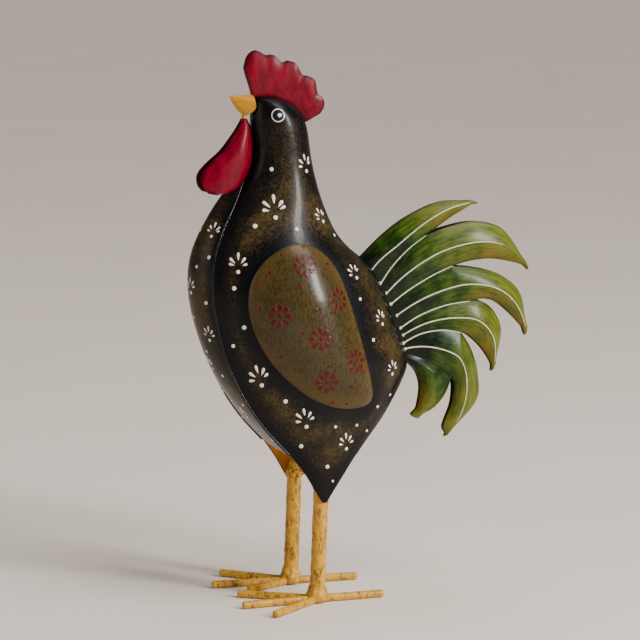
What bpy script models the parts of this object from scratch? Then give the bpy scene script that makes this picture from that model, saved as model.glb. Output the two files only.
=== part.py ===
"""Painted sheet-metal rooster figure. Metres, +Z up, the bird faces -Y, its left side is +X.

The lengths below are in millimetres and the mesh helper turns them into metres. Each side of the
body is one pressed sheet, drawn as rows that run from a front rail to a rear rail."""
import math

import bmesh
import bpy
from mathutils import Matrix, Vector
from mathutils.bvhtree import BVHTree

MM = 0.001

# Driving dimensions, millimetres.
SHEET = 1.0              # gauge of every pressed sheet
GAP = 0.3                # air left where two pieces touch
LEG_DIAMETER = 9.8       # round bar
TOE_DIAMETER = 5.0       # round bar, resting on its lowest facet
TOE_FACETS = 8
LEG_X = 27.5             # half the distance between the legs
LEG_Y = -34.0
LEG_TOP = 82.0
WELD_Z = 73.5            # the bead that joins a leg to the tip of its body side
FOOT_Y = -37.0           # the legs lean forward a little from LEG_Y at their tops
TOES = {                 # degrees outward from straight ahead, start and end from the leg's centre line
    "left": (
        ("inner", -33.0, 9.0, 52.0),
        ("middle", 4.0, 0.0, 50.0),
        ("outer", 41.0, 8.6, 50.5),
        ("back", 181.5, 0.4, 44.0),
    ),
    "right": (
        ("inner", -28.0, 10.2, 38.0),
        ("middle", 3.0, 0.0, 52.0),
        ("outer", 43.0, 8.4, 50.5),
        ("back", 181.5, 0.4, 44.0),
    ),
}
WELD_INNER = LEG_DIAMETER / 2 + GAP
THIGH_START = 72.0       # degrees round the leg at which its upper bead starts, from +X
THIGH_SWEEP = 190.0
THIGH_STEPS = 14
THIGH_BEAD = 1.1         # half the bead's thickness
THIGH_BEAD_TALL = 1.9    # the bead's height over its thickness
THIGH_BEAD_OUT = 1.6     # from the leg's surface to the bead's middle
THIGH_RIPPLE = 0.18      # how much the bead swells and thins along its length
THIGH_WANDER = 0.9       # how far the bead strays up and down
BEAD_SIDES = 6
ANKLE_SIDES = 16
# Section of the ankle fillet: radius, and height above the toes.
ANKLE_OUTLINE = ((WELD_INNER, 0.0), (7.6, 0.0), (6.9, 2.4), (6.0, 4.6), (WELD_INNER + 0.1, 6.0))
WING_DOME = 8.5          # how far the middle of a wing stands off the body
WING_RINGS = 6
WING_FLATTEN = 2.6       # powers that round the wing's rim and flatten its middle
WING_ROUND = 0.8
COLUMNS = 12             # faces across one body side
STRIP_COLUMNS = 8        # faces across the breast and rump strips
FOLD_AIR = 0.6 * GAP     # how far each sheet stands back from a fold
SHARPEST_FOLD = 0.5      # least cosine between a sheet and the middle of its fold

# Body side, from the tip over the leg to the crown. Each station is the front rail (y, z, x),
# the rear rail (y, z, x) and the half-width of the body between them.
STATIONS = (
    ((-35.5, 65.0, 33.6), (-32.5, 65.0, 33.6), 33.9),
    ((-40.5, 73.0, 33.2), (-29.0, 70.5, 33.3), 34.2),
    ((-45.5, 82.0, 32.2), (-22.0, 80.5, 32.5), 35.2),
    ((-50.5, 89.0, 31.0), (-12.5, 93.5, 30.5), 36.4),
    ((-55.0, 95.0, 29.6), (-1.5, 106.0, 27.0), 37.6),
    ((-69.0, 110.0, 27.8), (9.0, 117.0, 22.5), 38.8),
    ((-81.0, 127.0, 26.0), (18.5, 129.0, 16.5), 39.6),
    ((-89.5, 144.0, 23.8), (26.5, 139.5, 10.5), 40.0),
    ((-95.5, 161.0, 22.0), (30.0, 148.0, 6.0), 40.0),
    ((-99.5, 179.0, 21.0), (26.5, 158.0, 6.0), 39.8),
    ((-102.0, 195.0, 20.3), (20.5, 174.0, 6.0), 39.0),
    ((-101.8, 210.0, 19.3), (14.5, 189.5, 6.0), 37.4),
    ((-99.5, 223.0, 17.8), (8.5, 203.5, 6.0), 35.0),
    ((-94.0, 236.5, 14.6), (0.5, 213.5, 6.0), 31.8),
    ((-85.0, 250.5, 9.0), (-7.0, 219.5, 0.15), 27.6),
    ((-78.0, 263.0, 3.0), (-15.5, 229.0, 0.15), 23.6),
    ((-72.4, 274.5, 0.8), (-22.5, 242.0, 0.15), 20.4),
    ((-70.4, 286.0, 0.15), (-28.0, 257.0, 0.15), 18.2),
    ((-71.0, 297.0, 0.15), (-31.5, 272.0, 0.15), 17.0),
    ((-71.4, 306.0, 0.15), (-33.8, 287.0, 0.15), 16.4),
    ((-71.0, 312.6, 0.15), (-36.0, 299.5, 0.15), 15.2),
    ((-69.8, 316.6, 0.15), (-41.5, 308.6, 0.15), 12.4),
    ((-65.6, 317.9, 0.15), (-49.0, 314.4, 0.15), 8.0),
    ((-58.6, 317.6, 0.15), (-54.6, 316.6, 0.15), 3.0),
)
BREAST_ROWS = (8, 32)       # rows of the body side that the breast strip joins
BREAST_BULGE = (1.0, 1.5, 3.0, 5.5, 7.5, 9.0, 9.8, 10.0, 9.8, 9.0, 10.4, 7.5, 0.6)
RUMP_ROWS = (6, 15)         # rows that the rump strip joins
RUMP_BULGE = (1.0, 2.0, 3.0, 3.0, 2.0)
RUMP_OUT = (0.6, -0.8)      # the direction (y, z) in which the rump strip bulges

# Comb: pairs of base point and edge point (y, z), front to rear.
COMB = (
    ((-70.8, 318.6), (-76.0, 335.0)),
    ((-68.0, 319.4), (-73.4, 342.6)),
    ((-65.0, 319.8), (-68.0, 346.0)),
    ((-62.0, 319.8), (-62.0, 343.0)),
    ((-59.0, 319.4), (-57.0, 344.0)),
    ((-56.0, 318.6), (-51.2, 338.2)),
    ((-53.0, 317.5), (-46.6, 339.0)),
    ((-50.5, 316.4), (-42.0, 336.8)),
    ((-48.0, 315.0), (-38.2, 330.2)),
    ((-45.5, 313.2), (-34.2, 330.2)),
    ((-43.2, 311.2), (-30.0, 326.4)),
    ((-41.2, 309.2), (-28.2, 318.2)),
    ((-39.2, 306.6), (-24.8, 315.4)),
    ((-37.4, 303.8), (-24.0, 310.0)),
    ((-35.8, 300.4), (-27.0, 305.0)),
)
COMB_RISE = (0.0, 1.3, 2.0, 2.2, 1.9, 1.2, 0.0)      # dome of one comb half, base to edge
COMB_END = 3                # columns over which the dome fades at the comb's front and rear
COMB_AIR = 0.15             # from the middle plane to a comb half's inner face

BEAK_TIP = (0.0, -85.2, 318.2)
BEAK_MIDDLE = (-70.2, 312.1)            # centre (y, z) of the beak's open rear edge
BEAK_HALF_WIDTH = 7.6
BEAK_HALF_HEIGHT = 6.6
BEAK_LAP = (0.6, 6.0)                   # how far the rear edge sweeps forward at its top and at its bottom
BEAK_SHEET = 0.8
BEAK_RINGS = 5
BEAK_AROUND = 16
BEAK_TAPER = 0.9

# Wattle: front rail (y, z) and rear rail (y, z), top to bottom.
WATTLE = (
    ((-77.6, 304.0), (-75.6, 304.0)),
    ((-80.8, 298.0), (-73.2, 298.6)),
    ((-86.4, 290.0), (-72.2, 292.0)),
    ((-91.8, 283.4), (-72.2, 283.0)),
    ((-100.2, 276.0), (-73.0, 275.0)),
    ((-105.0, 269.6), (-77.2, 266.0)),
    ((-104.6, 263.0), (-82.4, 260.8)),
    ((-101.0, 258.6), (-90.6, 257.6)),
)
WATTLE_X = (1.6, 7.2)        # outer edge at the top and at the bottom
WATTLE_SPREAD = 1.6          # power with which the two wattles part downward
WATTLE_DOME = 4.4
WATTLE_ROWS = 17
WATTLE_COLUMNS = 6
WATTLE_LOWEST = 0.94         # how far down the dome keeps its height
TAB_SIZE = (1.6, 3.4, 4.8)   # the tab from which both wattles hang
TAB_CENTRE = (0.0, -76.4, 302.7)

# Wing outline (y, z), clockwise from the top as seen from the bird's left.
WING = (
    (-49.0, 229.0), (-40.0, 226.0), (-31.5, 219.0), (-24.5, 208.5), (-18.5, 192.5),
    (-13.0, 174.5), (-8.0, 156.0), (-4.0, 140.0), (-2.6, 131.6), (-6.0, 126.4),
    (-14.0, 124.6), (-24.0, 124.8), (-35.0, 127.6), (-46.5, 133.4), (-58.0, 142.6),
    (-68.0, 153.4), (-76.0, 166.0), (-81.5, 180.0), (-83.6, 194.0), (-81.4, 206.5),
    (-75.0, 217.0), (-66.5, 224.4), (-58.0, 228.2),
)
WING_CENTRE = (-46.0, 181.0)
WING_AIR = 0.55              # between the wing's inner face and the body
WING_LIFT = 2.5              # how far the top of the wing stands further off the narrowing neck
WING_LIFT_FROM = 205.0
WING_LIFT_OVER = 24.0

# Tail. Root points lie on the body's rear edge, and a notch is where two feathers part (y, z).
TAIL_ROOTS = (
    (-3.0, 210.5), (10.1, 193.6), (15.4, 180.8), (21.5, 165.4), (24.0, 156.3), (25.2, 152.0), (26.0, 148.0),
)
TAIL_NOTCHES = (
    (0.0, 214.0), (42.0, 226.0), (60.0, 206.0), (72.0, 183.0), (67.0, 163.0), (60.5, 135.0), (30.0, 146.0),
)
TAIL_ARCS = (0.0, 3.0, 2.2, 4.2, 5.2, 3.0, 0.0)        # how far each valley arches above its chord
TAIL_EDGE_X = (4.8, 4.8, 4.8, 4.8, 2.4, 1.4, 1.3)        # outer face at a feather's edges, root to tip
TAIL_RIDGE_X = (4.9, 5.2, 7.0, 8.2, 8.2, 7.4, 4.8)       # outer face along its midrib
TAIL_FREE_X = (3.2, 1.9, 1.5, 1.4, 1.4, 1.4, 1.3)        # along the tail's own top and bottom edges
TAIL_TIP_X = 1.5
# Per feather: upper edge beyond its notch, tip, lower edge from the tip back to its notch.
TAIL_FEATHERS = (
    (
        ((16.0, 228.5), (33.0, 239.5), (54.0, 247.2)),
        (77.0, 246.2),
        ((69.0, 241.6), (60.0, 237.0), (51.0, 231.5)),
    ),
    (
        ((57.0, 231.0), (76.0, 233.6), (96.0, 227.5)),
        (113.0, 203.0),
        ((101.0, 206.8), (87.0, 209.4), (73.0, 208.8)),
    ),
    (
        ((77.0, 204.0), (94.0, 198.6), (108.0, 185.6)),
        (112.4, 160.6),
        ((103.0, 171.0), (92.0, 180.6), (82.0, 184.0)),
    ),
    (
        ((81.0, 182.4), (90.0, 175.0), (95.0, 161.0)),
        (90.0, 138.0),
        ((85.0, 147.0), (79.6, 154.0), (73.0, 160.0)),
    ),
    (
        ((74.0, 152.0), (79.0, 136.0), (78.0, 117.5)),
        (58.5, 96.8),
        ((55.6, 102.8), (61.0, 116.8), (62.4, 129.0)),
    ),
    (
        ((57.6, 126.0), (53.4, 119.0), (47.0, 113.4)),
        (36.0, 109.6),
        ((38.6, 119.0), (39.8, 130.0), (36.6, 139.6)),
    ),
)


def blend(a, b, f):
    return a + (b - a) * f


def mixed(p, q, f):
    """The point a fraction f of the way from p to q."""
    return tuple(blend(a, b, f) for a, b in zip(p, q))


def catmull(p0, p1, p2, p3, f):
    """Catmull-Rom blend between p1 and p2."""
    out = []
    for a, b, c, d in zip(p0, p1, p2, p3):
        slope = c - a
        square = 2 * a - 5 * b + 4 * c - d
        cube = 3 * b - a - 3 * c + d
        out.append(0.5 * (2 * b + slope * f + square * f ** 2 + cube * f ** 3))
    return tuple(out)


def resample(points, count):
    """A smooth open line through points, at count even steps of its index."""
    last = len(points) - 1
    out = []
    for i in range(count):
        s = last * i / (count - 1)
        k = min(int(s), last - 1)
        ends = (points[max(k - 1, 0)], points[k], points[k + 1], points[min(k + 2, last)])
        out.append(catmull(*ends, s - k))
    return out


def material(name, rgb, roughness):
    mat = bpy.data.materials.new(name)
    mat.use_nodes = True
    bsdf = mat.node_tree.nodes["Principled BSDF"]
    bsdf.inputs["Base Color"].default_value = (*rgb, 1.0)
    bsdf.inputs["Roughness"].default_value = roughness
    mat.diffuse_color = (*rgb, 1.0)
    return mat


def add_object(name, bm, mat):
    mesh = bpy.data.meshes.new(name)
    bmesh.ops.scale(bm, vec=(MM, MM, MM), verts=bm.verts)
    bm.to_mesh(mesh)
    bm.free()
    obj = bpy.data.objects.new(name, mesh)
    obj.data.materials.append(mat)
    bpy.data.collections["sheet_metal_rooster"].objects.link(obj)
    return obj


def grid_faces(bm, rows):
    """Quads between rows of points, facing the side from which rows run up and points run right."""
    made = [[bm.verts.new(p) for p in row] for row in rows]
    for low, high in zip(made, made[1:]):
        for j in range(len(low) - 1):
            bm.faces.new((low[j], low[j + 1], high[j + 1], high[j]))
    return made


def flipped(rows):
    """The same sheet on the bird's right."""
    return [[(-x, y, z) for x, y, z in reversed(row)] for row in rows]


def sheet(name, rows, mat, thickness=SHEET):
    """A pressed sheet: its outer face follows rows, and its thickness goes inward."""
    bm = bmesh.new()
    grid_faces(bm, rows)
    obj = add_object(name, bm, mat)
    gauge = obj.modifiers.new("gauge", "SOLIDIFY")
    gauge.thickness = thickness * MM
    gauge.offset = -1.0
    gauge.use_even_offset = False
    return obj


def both_sides(name, rows, mat):
    sheet(name + "_left", rows, mat)
    sheet(name + "_right", flipped(rows), mat)


def outward(rows, i, j):
    """Unit normal of a sheet at one grid point, on the side that it faces."""
    up = Vector(rows[min(i + 1, len(rows) - 1)][j]) - Vector(rows[max(i - 1, 0)][j])
    along = Vector(rows[i][min(j + 1, len(rows[i]) - 1)]) - Vector(rows[i][max(j - 1, 0)])
    return along.cross(up).normalized()


def offset_rows(rows, edges, keep_left):
    """Outer and inner points of a sheet. edges maps a grid point at a fold to the next sheet's normal."""
    outer = []
    inner = []
    for i, row in enumerate(rows):
        outer.append([])
        inner.append([])
        for j, p in enumerate(row):
            p = Vector(p)
            normal = outward(rows, i, j)
            if (i, j) in edges:
                middle = (normal + edges[i, j]).normalized()
                inward = middle * (SHEET / max(middle.dot(normal), SHARPEST_FOLD))
                neighbour = Vector(row[j + 1] if j == 0 else row[j - 1]) - p
                away = (neighbour - middle * neighbour.dot(middle)).normalized() * FOLD_AIR
            else:
                inward = normal * SHEET
                away = Vector((0, 0, 0))
            q = p - inward + away
            p = p + away
            if keep_left:
                q.x = max(q.x, GAP / 2)
                p.x = max(p.x, GAP / 2)
            outer[-1].append(p)
            inner[-1].append(q)
    return outer, inner


def rim(grid):
    """The border of a grid of vertices, once round."""
    right = [row[-1] for row in grid[1:-1]]
    left = [row[0] for row in grid[1:-1]]
    return grid[0] + right + grid[-1][::-1] + left[::-1]


def thick_sheet(name, outer, inner, mat, sign=1):
    """A closed solid between an outer and an inner grid of points."""
    bm = bmesh.new()
    grids = []
    for points in (outer, inner):
        grids.append([[bm.verts.new((sign * x, y, z)) for x, y, z in row] for row in points])
        for low, high in zip(grids[-1], grids[-1][1:]):
            for j in range(len(low) - 1):
                bm.faces.new((low[j], low[j + 1], high[j + 1], high[j]))
    out_loop = rim(grids[0])
    in_loop = rim(grids[1])
    for k in range(len(out_loop)):
        m = (k + 1) % len(out_loop)
        bm.faces.new((out_loop[k], out_loop[m], in_loop[m], in_loop[k]))
    bmesh.ops.recalc_face_normals(bm, faces=bm.faces)
    return add_object(name, bm, mat)


def rails():
    """The body's stations with one more row between each two."""
    flat = [(*front, *rear, wide) for front, rear, wide in STATIONS]
    return resample(flat, 2 * len(flat) - 1)


def body_rows():
    """Rows of one body side, each an arc of an ellipse between its rails."""
    rows = []
    for fy, fz, fx, ry, rz, rx, wide in rails():
        fx = max(fx, GAP / 2)
        rx = max(rx, GAP / 2)
        wide = max(wide, fx + 0.02, rx + 0.02)
        start = math.asin(fx / wide)
        end = math.pi - math.asin(rx / wide)
        row = []
        for j in range(COLUMNS + 1):
            angle = blend(start, end, j / COLUMNS)
            f = (math.cos(start) - math.cos(angle)) / (math.cos(start) - math.cos(end))
            row.append((wide * math.sin(angle), blend(fy, ry, f), blend(fz, rz, f)))
        rows.append(row)
    return rows


def across_strip():
    """Places across a strip, from -1 at its first edge to 1 at its last."""
    return [2 * j / STRIP_COLUMNS - 1 for j in range(STRIP_COLUMNS + 1)]


def breast_rows():
    """Rows of the strip between the two front rails, from its free lower edge to its tip."""
    rows = []
    chosen = rails()[BREAST_ROWS[0]:BREAST_ROWS[1] + 1]
    for (y, z, x, *_), (bulge,) in zip(chosen, resample([(b,) for b in BREAST_BULGE], len(chosen))):
        rows.append([(x * t, y - bulge * (1 - t ** 2), z) for t in across_strip()])
    return rows


def rump_rows():
    """Rows of the strip between the two rear rails, under the tail."""
    rows = []
    chosen = rails()[RUMP_ROWS[0]:RUMP_ROWS[1] + 1]
    for (_, _, _, y, z, x, _), (bulge,) in zip(chosen, resample([(b,) for b in RUMP_BULGE], len(chosen))):
        row = []
        for t in across_strip():
            out = bulge * (1 - t ** 2)
            row.append((-x * t, y + RUMP_OUT[0] * out, z + RUMP_OUT[1] * out))
        rows.append(row)
    return rows


def build_body(mat):
    side = body_rows()
    breast = breast_rows()
    rump = rump_rows()
    side_edges = {}
    breast_edges = {}
    rump_edges = {}
    for k in range(len(breast)):
        i = BREAST_ROWS[0] + k
        side_edges[i, 0] = outward(breast, k, STRIP_COLUMNS)
        normal = outward(side, i, 0)
        breast_edges[k, STRIP_COLUMNS] = normal
        breast_edges[k, 0] = Vector((-normal.x, normal.y, normal.z))
    for k in range(len(rump)):
        i = RUMP_ROWS[0] + k
        side_edges[i, COLUMNS] = outward(rump, k, 0)
        normal = outward(side, i, COLUMNS)
        rump_edges[k, 0] = normal
        rump_edges[k, STRIP_COLUMNS] = Vector((-normal.x, normal.y, normal.z))
    outer, inner = offset_rows(side, side_edges, True)
    thick_sheet("body_side_left", outer, inner, mat)
    thick_sheet("body_side_right", outer, inner, mat, -1)
    thick_sheet("breast_gusset", *offset_rows(breast, breast_edges, False), mat)
    thick_sheet("rump_gusset", *offset_rows(rump, rump_edges, False), mat)


def body_tree():
    """The body's left side in millimetres, for finding its face under a wing."""
    bm = bmesh.new()
    grid_faces(bm, body_rows())
    tree = BVHTree.FromBMesh(bm)
    bm.free()
    return tree


def build_comb(mat):
    rows = []
    count = 2 * len(COMB) - 1
    bases = resample([b for b, _ in COMB], count)
    edges = resample([e for _, e in COMB], count)
    last = len(COMB_RISE) - 1
    for i, rise in enumerate(COMB_RISE):
        row = []
        for j in range(count):
            y, z = mixed(bases[j], edges[j], i / last)
            ends = min(1.0, min(j, count - 1 - j) / COMB_END)
            row.append((COMB_AIR + SHEET + rise * ends, y, z))
        rows.append(row)
    both_sides("comb", rows, mat)


def build_beak(mat):
    """A cone folded round the front of the head, open at the back."""
    rows = []
    for i in range(BEAK_RINGS):
        f = i / BEAK_RINGS
        row = []
        for j in range(BEAK_AROUND):
            a = 2 * math.pi * j / BEAK_AROUND
            up = math.cos(a)
            lap = BEAK_LAP[0] if up > 0 else BEAK_LAP[1]
            edge = (
                BEAK_HALF_WIDTH * math.sin(a),
                BEAK_MIDDLE[0] - lap * up * up,
                BEAK_MIDDLE[1] + BEAK_HALF_HEIGHT * up,
            )
            row.append(mixed(edge, BEAK_TIP, f ** BEAK_TAPER))
        rows.append(row)
    bm = bmesh.new()
    made = [[bm.verts.new(p) for p in row] for row in rows]
    for low, high in zip(made, made[1:]):
        for j in range(BEAK_AROUND):
            k = (j + 1) % BEAK_AROUND
            bm.faces.new((low[k], low[j], high[j], high[k]))
    tip = bm.verts.new(BEAK_TIP)
    for j in range(BEAK_AROUND):
        bm.faces.new((made[-1][(j + 1) % BEAK_AROUND], made[-1][j], tip))
    bmesh.ops.recalc_face_normals(bm, faces=bm.faces)
    obj = add_object("beak", bm, mat)
    gauge = obj.modifiers.new("gauge", "SOLIDIFY")
    gauge.thickness = BEAK_SHEET * MM
    gauge.offset = -1.0


def build_wattles(wattle_mat, tab_mat):
    rows = []
    fronts = resample([f for f, _ in WATTLE], WATTLE_ROWS)
    rears = resample([r for _, r in WATTLE], WATTLE_ROWS)
    for i, (front, rear) in enumerate(zip(fronts, rears)):
        down = i / (WATTLE_ROWS - 1)
        height = WATTLE_DOME * math.sin(math.pi * min(down, WATTLE_LOWEST)) ** 0.7
        row = []
        for j in range(WATTLE_COLUMNS + 1):
            across = j / WATTLE_COLUMNS
            y, z = mixed(front, rear, across)
            dome = height * math.sin(math.pi * across)
            row.append((blend(*WATTLE_X, down ** WATTLE_SPREAD) + dome, y, z))
        rows.append(row)
    both_sides("wattle", rows[::-1], wattle_mat)
    bm = bmesh.new()
    bmesh.ops.create_cube(bm, size=1.0)
    bmesh.ops.scale(bm, vec=TAB_SIZE, verts=bm.verts)
    bmesh.ops.translate(bm, vec=TAB_CENTRE, verts=bm.verts)
    add_object("wattle_tab", bm, tab_mat)


def build_wings(mat):
    """A domed shell on each side, its rim lying on the body."""
    tree = body_tree()
    rows = []
    for i in range(WING_RINGS + 1):
        scale = math.cos(math.pi / 2 * i / (WING_RINGS + 0.6))
        row = []
        for y0, z0 in WING:
            y = blend(WING_CENTRE[0], y0, scale)
            z = blend(WING_CENTRE[1], z0, scale)
            hit = tree.ray_cast(Vector((200, y, z)), Vector((-1, 0, 0)))[0]
            proud = max(0.0, (z - WING_LIFT_FROM) / WING_LIFT_OVER) ** 2 * WING_LIFT
            rise = WING_DOME * (1 - scale ** WING_FLATTEN) ** WING_ROUND
            row.append((hit.x + SHEET + WING_AIR + proud + rise, y, z))
        rows.append(row)
    for name, sign in (("wing_left", 1), ("wing_right", -1)):
        bm = bmesh.new()
        made = [[bm.verts.new((sign * x, y, z)) for x, y, z in row] for row in rows]
        count = len(WING)
        for low, high in zip(made, made[1:]):
            for j in range(count):
                k = (j + 1) % count
                bm.faces.new((low[j], low[k], high[k], high[j]))
        bm.faces.new(made[-1])
        bmesh.ops.recalc_face_normals(bm, faces=bm.faces)
        if sum(f.normal.x for f in bm.faces) * sign < 0:
            bmesh.ops.reverse_faces(bm, faces=bm.faces)
        obj = add_object(name, bm, mat)
        gauge = obj.modifiers.new("gauge", "SOLIDIFY")
        gauge.thickness = SHEET * MM
        gauge.offset = -1.0


def arched(p, q, f, arc):
    """A point a fraction f along an arch that rises arc above the middle of the chord from p to q."""
    y, z = mixed(p, q, f)
    length = math.dist(p, q)
    rise = arc * 4 * f * (1 - f)
    return y - rise * (q[1] - p[1]) / length, z + rise * (q[0] - p[0]) / length


def feather_edges():
    """Upper and lower edge of each feather, root to tip, with the shared part first."""
    shared = []
    for root, notch, arc in zip(TAIL_ROOTS, TAIL_NOTCHES, TAIL_ARCS):
        shared.append([root, arched(root, notch, 0.35, arc), arched(root, notch, 0.7, arc), notch])
    out = []
    for k, (upper, tip, lower) in enumerate(TAIL_FEATHERS):
        out.append((shared[k] + list(upper), shared[k + 1] + list(reversed(lower)), tip))
    return out


def feather_line(points):
    """A feather's line in two smooth stretches, the first of which its neighbour shares."""
    return resample(points[:4], 7) + resample(points[3:], 9)[1:]


def build_tail(mat):
    """One pressed half per side, with a ridge along each feather and a valley between feathers."""
    for name, sign in (("tail_left", 1), ("tail_right", -1)):
        bm = bmesh.new()
        found = {}

        def vertex(x, y, z):
            key = (round(x, 4), round(y, 4), round(z, 4))
            if key not in found:
                found[key] = bm.verts.new((sign * x, y, z))
            return found[key]

        notched = feather_line([(x,) for x in (*TAIL_EDGE_X, TAIL_TIP_X)])
        free = feather_line([(x,) for x in (*TAIL_FREE_X, TAIL_TIP_X)])
        ridges = feather_line([(x,) for x in (*TAIL_RIDGE_X, TAIL_TIP_X + 0.6)])
        feathers = feather_edges()
        for n, (upper, lower, tip) in enumerate(feathers):
            highs = free if n == 0 else notched
            lows = free if n == len(feathers) - 1 else notched
            tops = feather_line([*upper, tip])
            bottoms = feather_line([*lower, tip])
            across = []
            for u, w, (high,), (low,), (ridge,) in list(zip(tops, bottoms, highs, lows, ridges))[:-1]:
                line = [vertex(high, *u)]
                for edge, f, lift in ((high, 0.25, 0.62), (high, 0.5, 1.0), (low, 0.75, 0.62)):
                    line.append(vertex(blend(edge, ridge, lift), *mixed(u, w, f)))
                line.append(vertex(low, *w))
                across.append(line)
            for near, far in zip(across, across[1:]):
                for j in range(4):
                    bm.faces.new((near[j], near[j + 1], far[j + 1], far[j]))
            point = vertex(TAIL_TIP_X, *tip)
            for j in range(4):
                bm.faces.new((across[-1][j], across[-1][j + 1], point))
        bmesh.ops.recalc_face_normals(bm, faces=bm.faces)
        if sum(f.normal.x for f in bm.faces) * sign < 0:
            bmesh.ops.reverse_faces(bm, faces=bm.faces)
        obj = add_object(name, bm, mat)
        gauge = obj.modifiers.new("gauge", "SOLIDIFY")
        gauge.thickness = SHEET * MM
        gauge.offset = -1.0


def bar(bm, radius, length, sides):
    """A bar along Z with its middle at the origin."""
    bmesh.ops.create_cone(bm, cap_ends=True, segments=sides, radius1=radius, radius2=radius, depth=length)


def build_legs(mat):
    bottom = TOE_DIAMETER + GAP
    radius = LEG_DIAMETER / 2
    for side, sign in (("left", 1), ("right", -1)):
        bm = bmesh.new()
        bar(bm, radius, LEG_TOP - bottom, 16)
        for v in bm.verts:
            v.co.y += blend(FOOT_Y, LEG_Y, v.co.z / (LEG_TOP - bottom) + 0.5)
        bmesh.ops.translate(bm, vec=(sign * LEG_X, 0, (bottom + LEG_TOP) / 2), verts=bm.verts)
        add_object("leg_" + side, bm, mat)


def build_toes(mat):
    """Each front toe runs out from the leg, and the two outer ones start clear of the middle one."""
    half_facet = math.pi / TOE_FACETS
    for side, sign in (("left", 1), ("right", -1)):
        for name, angle, start, reach in TOES[side]:
            bm = bmesh.new()
            length = reach - start
            bar(bm, TOE_DIAMETER / 2 / math.cos(half_facet), length, TOE_FACETS)
            bmesh.ops.rotate(bm, matrix=Matrix.Rotation(half_facet, 3, "Z"), verts=bm.verts)
            bmesh.ops.rotate(bm, matrix=Matrix.Rotation(math.pi / 2, 3, "X"), verts=bm.verts)
            bmesh.ops.translate(bm, vec=(0, -(start + length / 2), 0), verts=bm.verts)
            bmesh.ops.rotate(bm, matrix=Matrix.Rotation(sign * math.radians(angle), 3, "Z"), verts=bm.verts)
            bmesh.ops.translate(bm, vec=(sign * LEG_X, FOOT_Y, TOE_DIAMETER / 2), verts=bm.verts)
            add_object(f"toe_{side}_{name}", bm, mat)


def loop_faces(bm, near, far):
    """A band of quads between two closed loops of vertices."""
    for j in range(len(near)):
        k = (j + 1) % len(near)
        bm.faces.new((near[j], near[k], far[k], far[j]))


def build_thigh_weld(side, sign, mat):
    """The bead round the inner side of a leg's top."""
    bm = bmesh.new()
    rings = []
    for i in range(THIGH_STEPS + 1):
        a = math.radians(THIGH_START + THIGH_SWEEP * i / THIGH_STEPS)
        bead = THIGH_BEAD * (1 + THIGH_RIPPLE * math.sin(2.1 * i))
        ring = []
        for j in range(BEAD_SIDES):
            b = 2 * math.pi * j / BEAD_SIDES
            r = WELD_INNER + THIGH_BEAD_OUT + bead * math.cos(b)
            x = sign * (LEG_X + r * math.cos(a))
            z = WELD_Z + THIGH_WANDER * math.sin(1.3 * i) + THIGH_BEAD_TALL * bead * math.sin(b)
            ring.append(bm.verts.new((x, LEG_Y + r * math.sin(a), z)))
        rings.append(ring)
    for near, far in zip(rings, rings[1:]):
        loop_faces(bm, near, far)
    bm.faces.new(rings[0])
    bm.faces.new(rings[-1][::-1])
    bmesh.ops.recalc_face_normals(bm, faces=bm.faces)
    add_object("thigh_weld_" + side, bm, mat)


def build_ankle_weld(side, sign, mat):
    """The fillet where the toes meet a leg."""
    bm = bmesh.new()
    loops = []
    for r, z in ANKLE_OUTLINE:
        loop = []
        for j in range(ANKLE_SIDES):
            a = 2 * math.pi * j / ANKLE_SIDES
            point = (sign * LEG_X + r * math.cos(a), FOOT_Y + r * math.sin(a), TOE_DIAMETER + GAP + z)
            loop.append(bm.verts.new(point))
        loops.append(loop)
    for near, far in zip(loops, loops[1:] + loops[:1]):
        loop_faces(bm, near, far)
    bmesh.ops.recalc_face_normals(bm, faces=bm.faces)
    add_object("ankle_weld_" + side, bm, mat)


def main():
    for old in list(bpy.data.objects):
        bpy.data.objects.remove(old)
    scene = bpy.context.scene
    scene.unit_settings.system = "METRIC"
    scene.unit_settings.scale_length = 1.0
    group = bpy.data.collections.new("sheet_metal_rooster")
    scene.collection.children.link(group)
    black = material("body_paint", (0.035, 0.026, 0.018), 0.32)
    ochre = material("wing_paint", (0.17, 0.11, 0.035), 0.3)
    crimson = material("comb_paint", (0.38, 0.012, 0.03), 0.28)
    yellow = material("beak_paint", (0.72, 0.38, 0.04), 0.45)
    green = material("tail_paint", (0.09, 0.17, 0.025), 0.35)
    leg_yellow = material("leg_paint", (0.68, 0.42, 0.11), 0.6)
    build_body(black)
    build_comb(crimson)
    build_beak(yellow)
    build_wattles(crimson, yellow)
    build_wings(ochre)
    build_tail(green)
    build_legs(leg_yellow)
    build_toes(leg_yellow)
    for side, sign in (("left", 1), ("right", -1)):
        build_thigh_weld(side, sign, leg_yellow)
        build_ankle_weld(side, sign, leg_yellow)


main()
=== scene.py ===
"""Looks for the painted sheet-metal rooster: fine pressed sheets, thick paint dabs and rough rod legs.

The frame is in metres. The rooster faces -Y, its left side is +X, and lengths below are millimetres."""
import math

import bmesh
import bpy
import numpy as np
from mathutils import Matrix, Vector, noise
from mathutils.bvhtree import BVHTree


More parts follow.
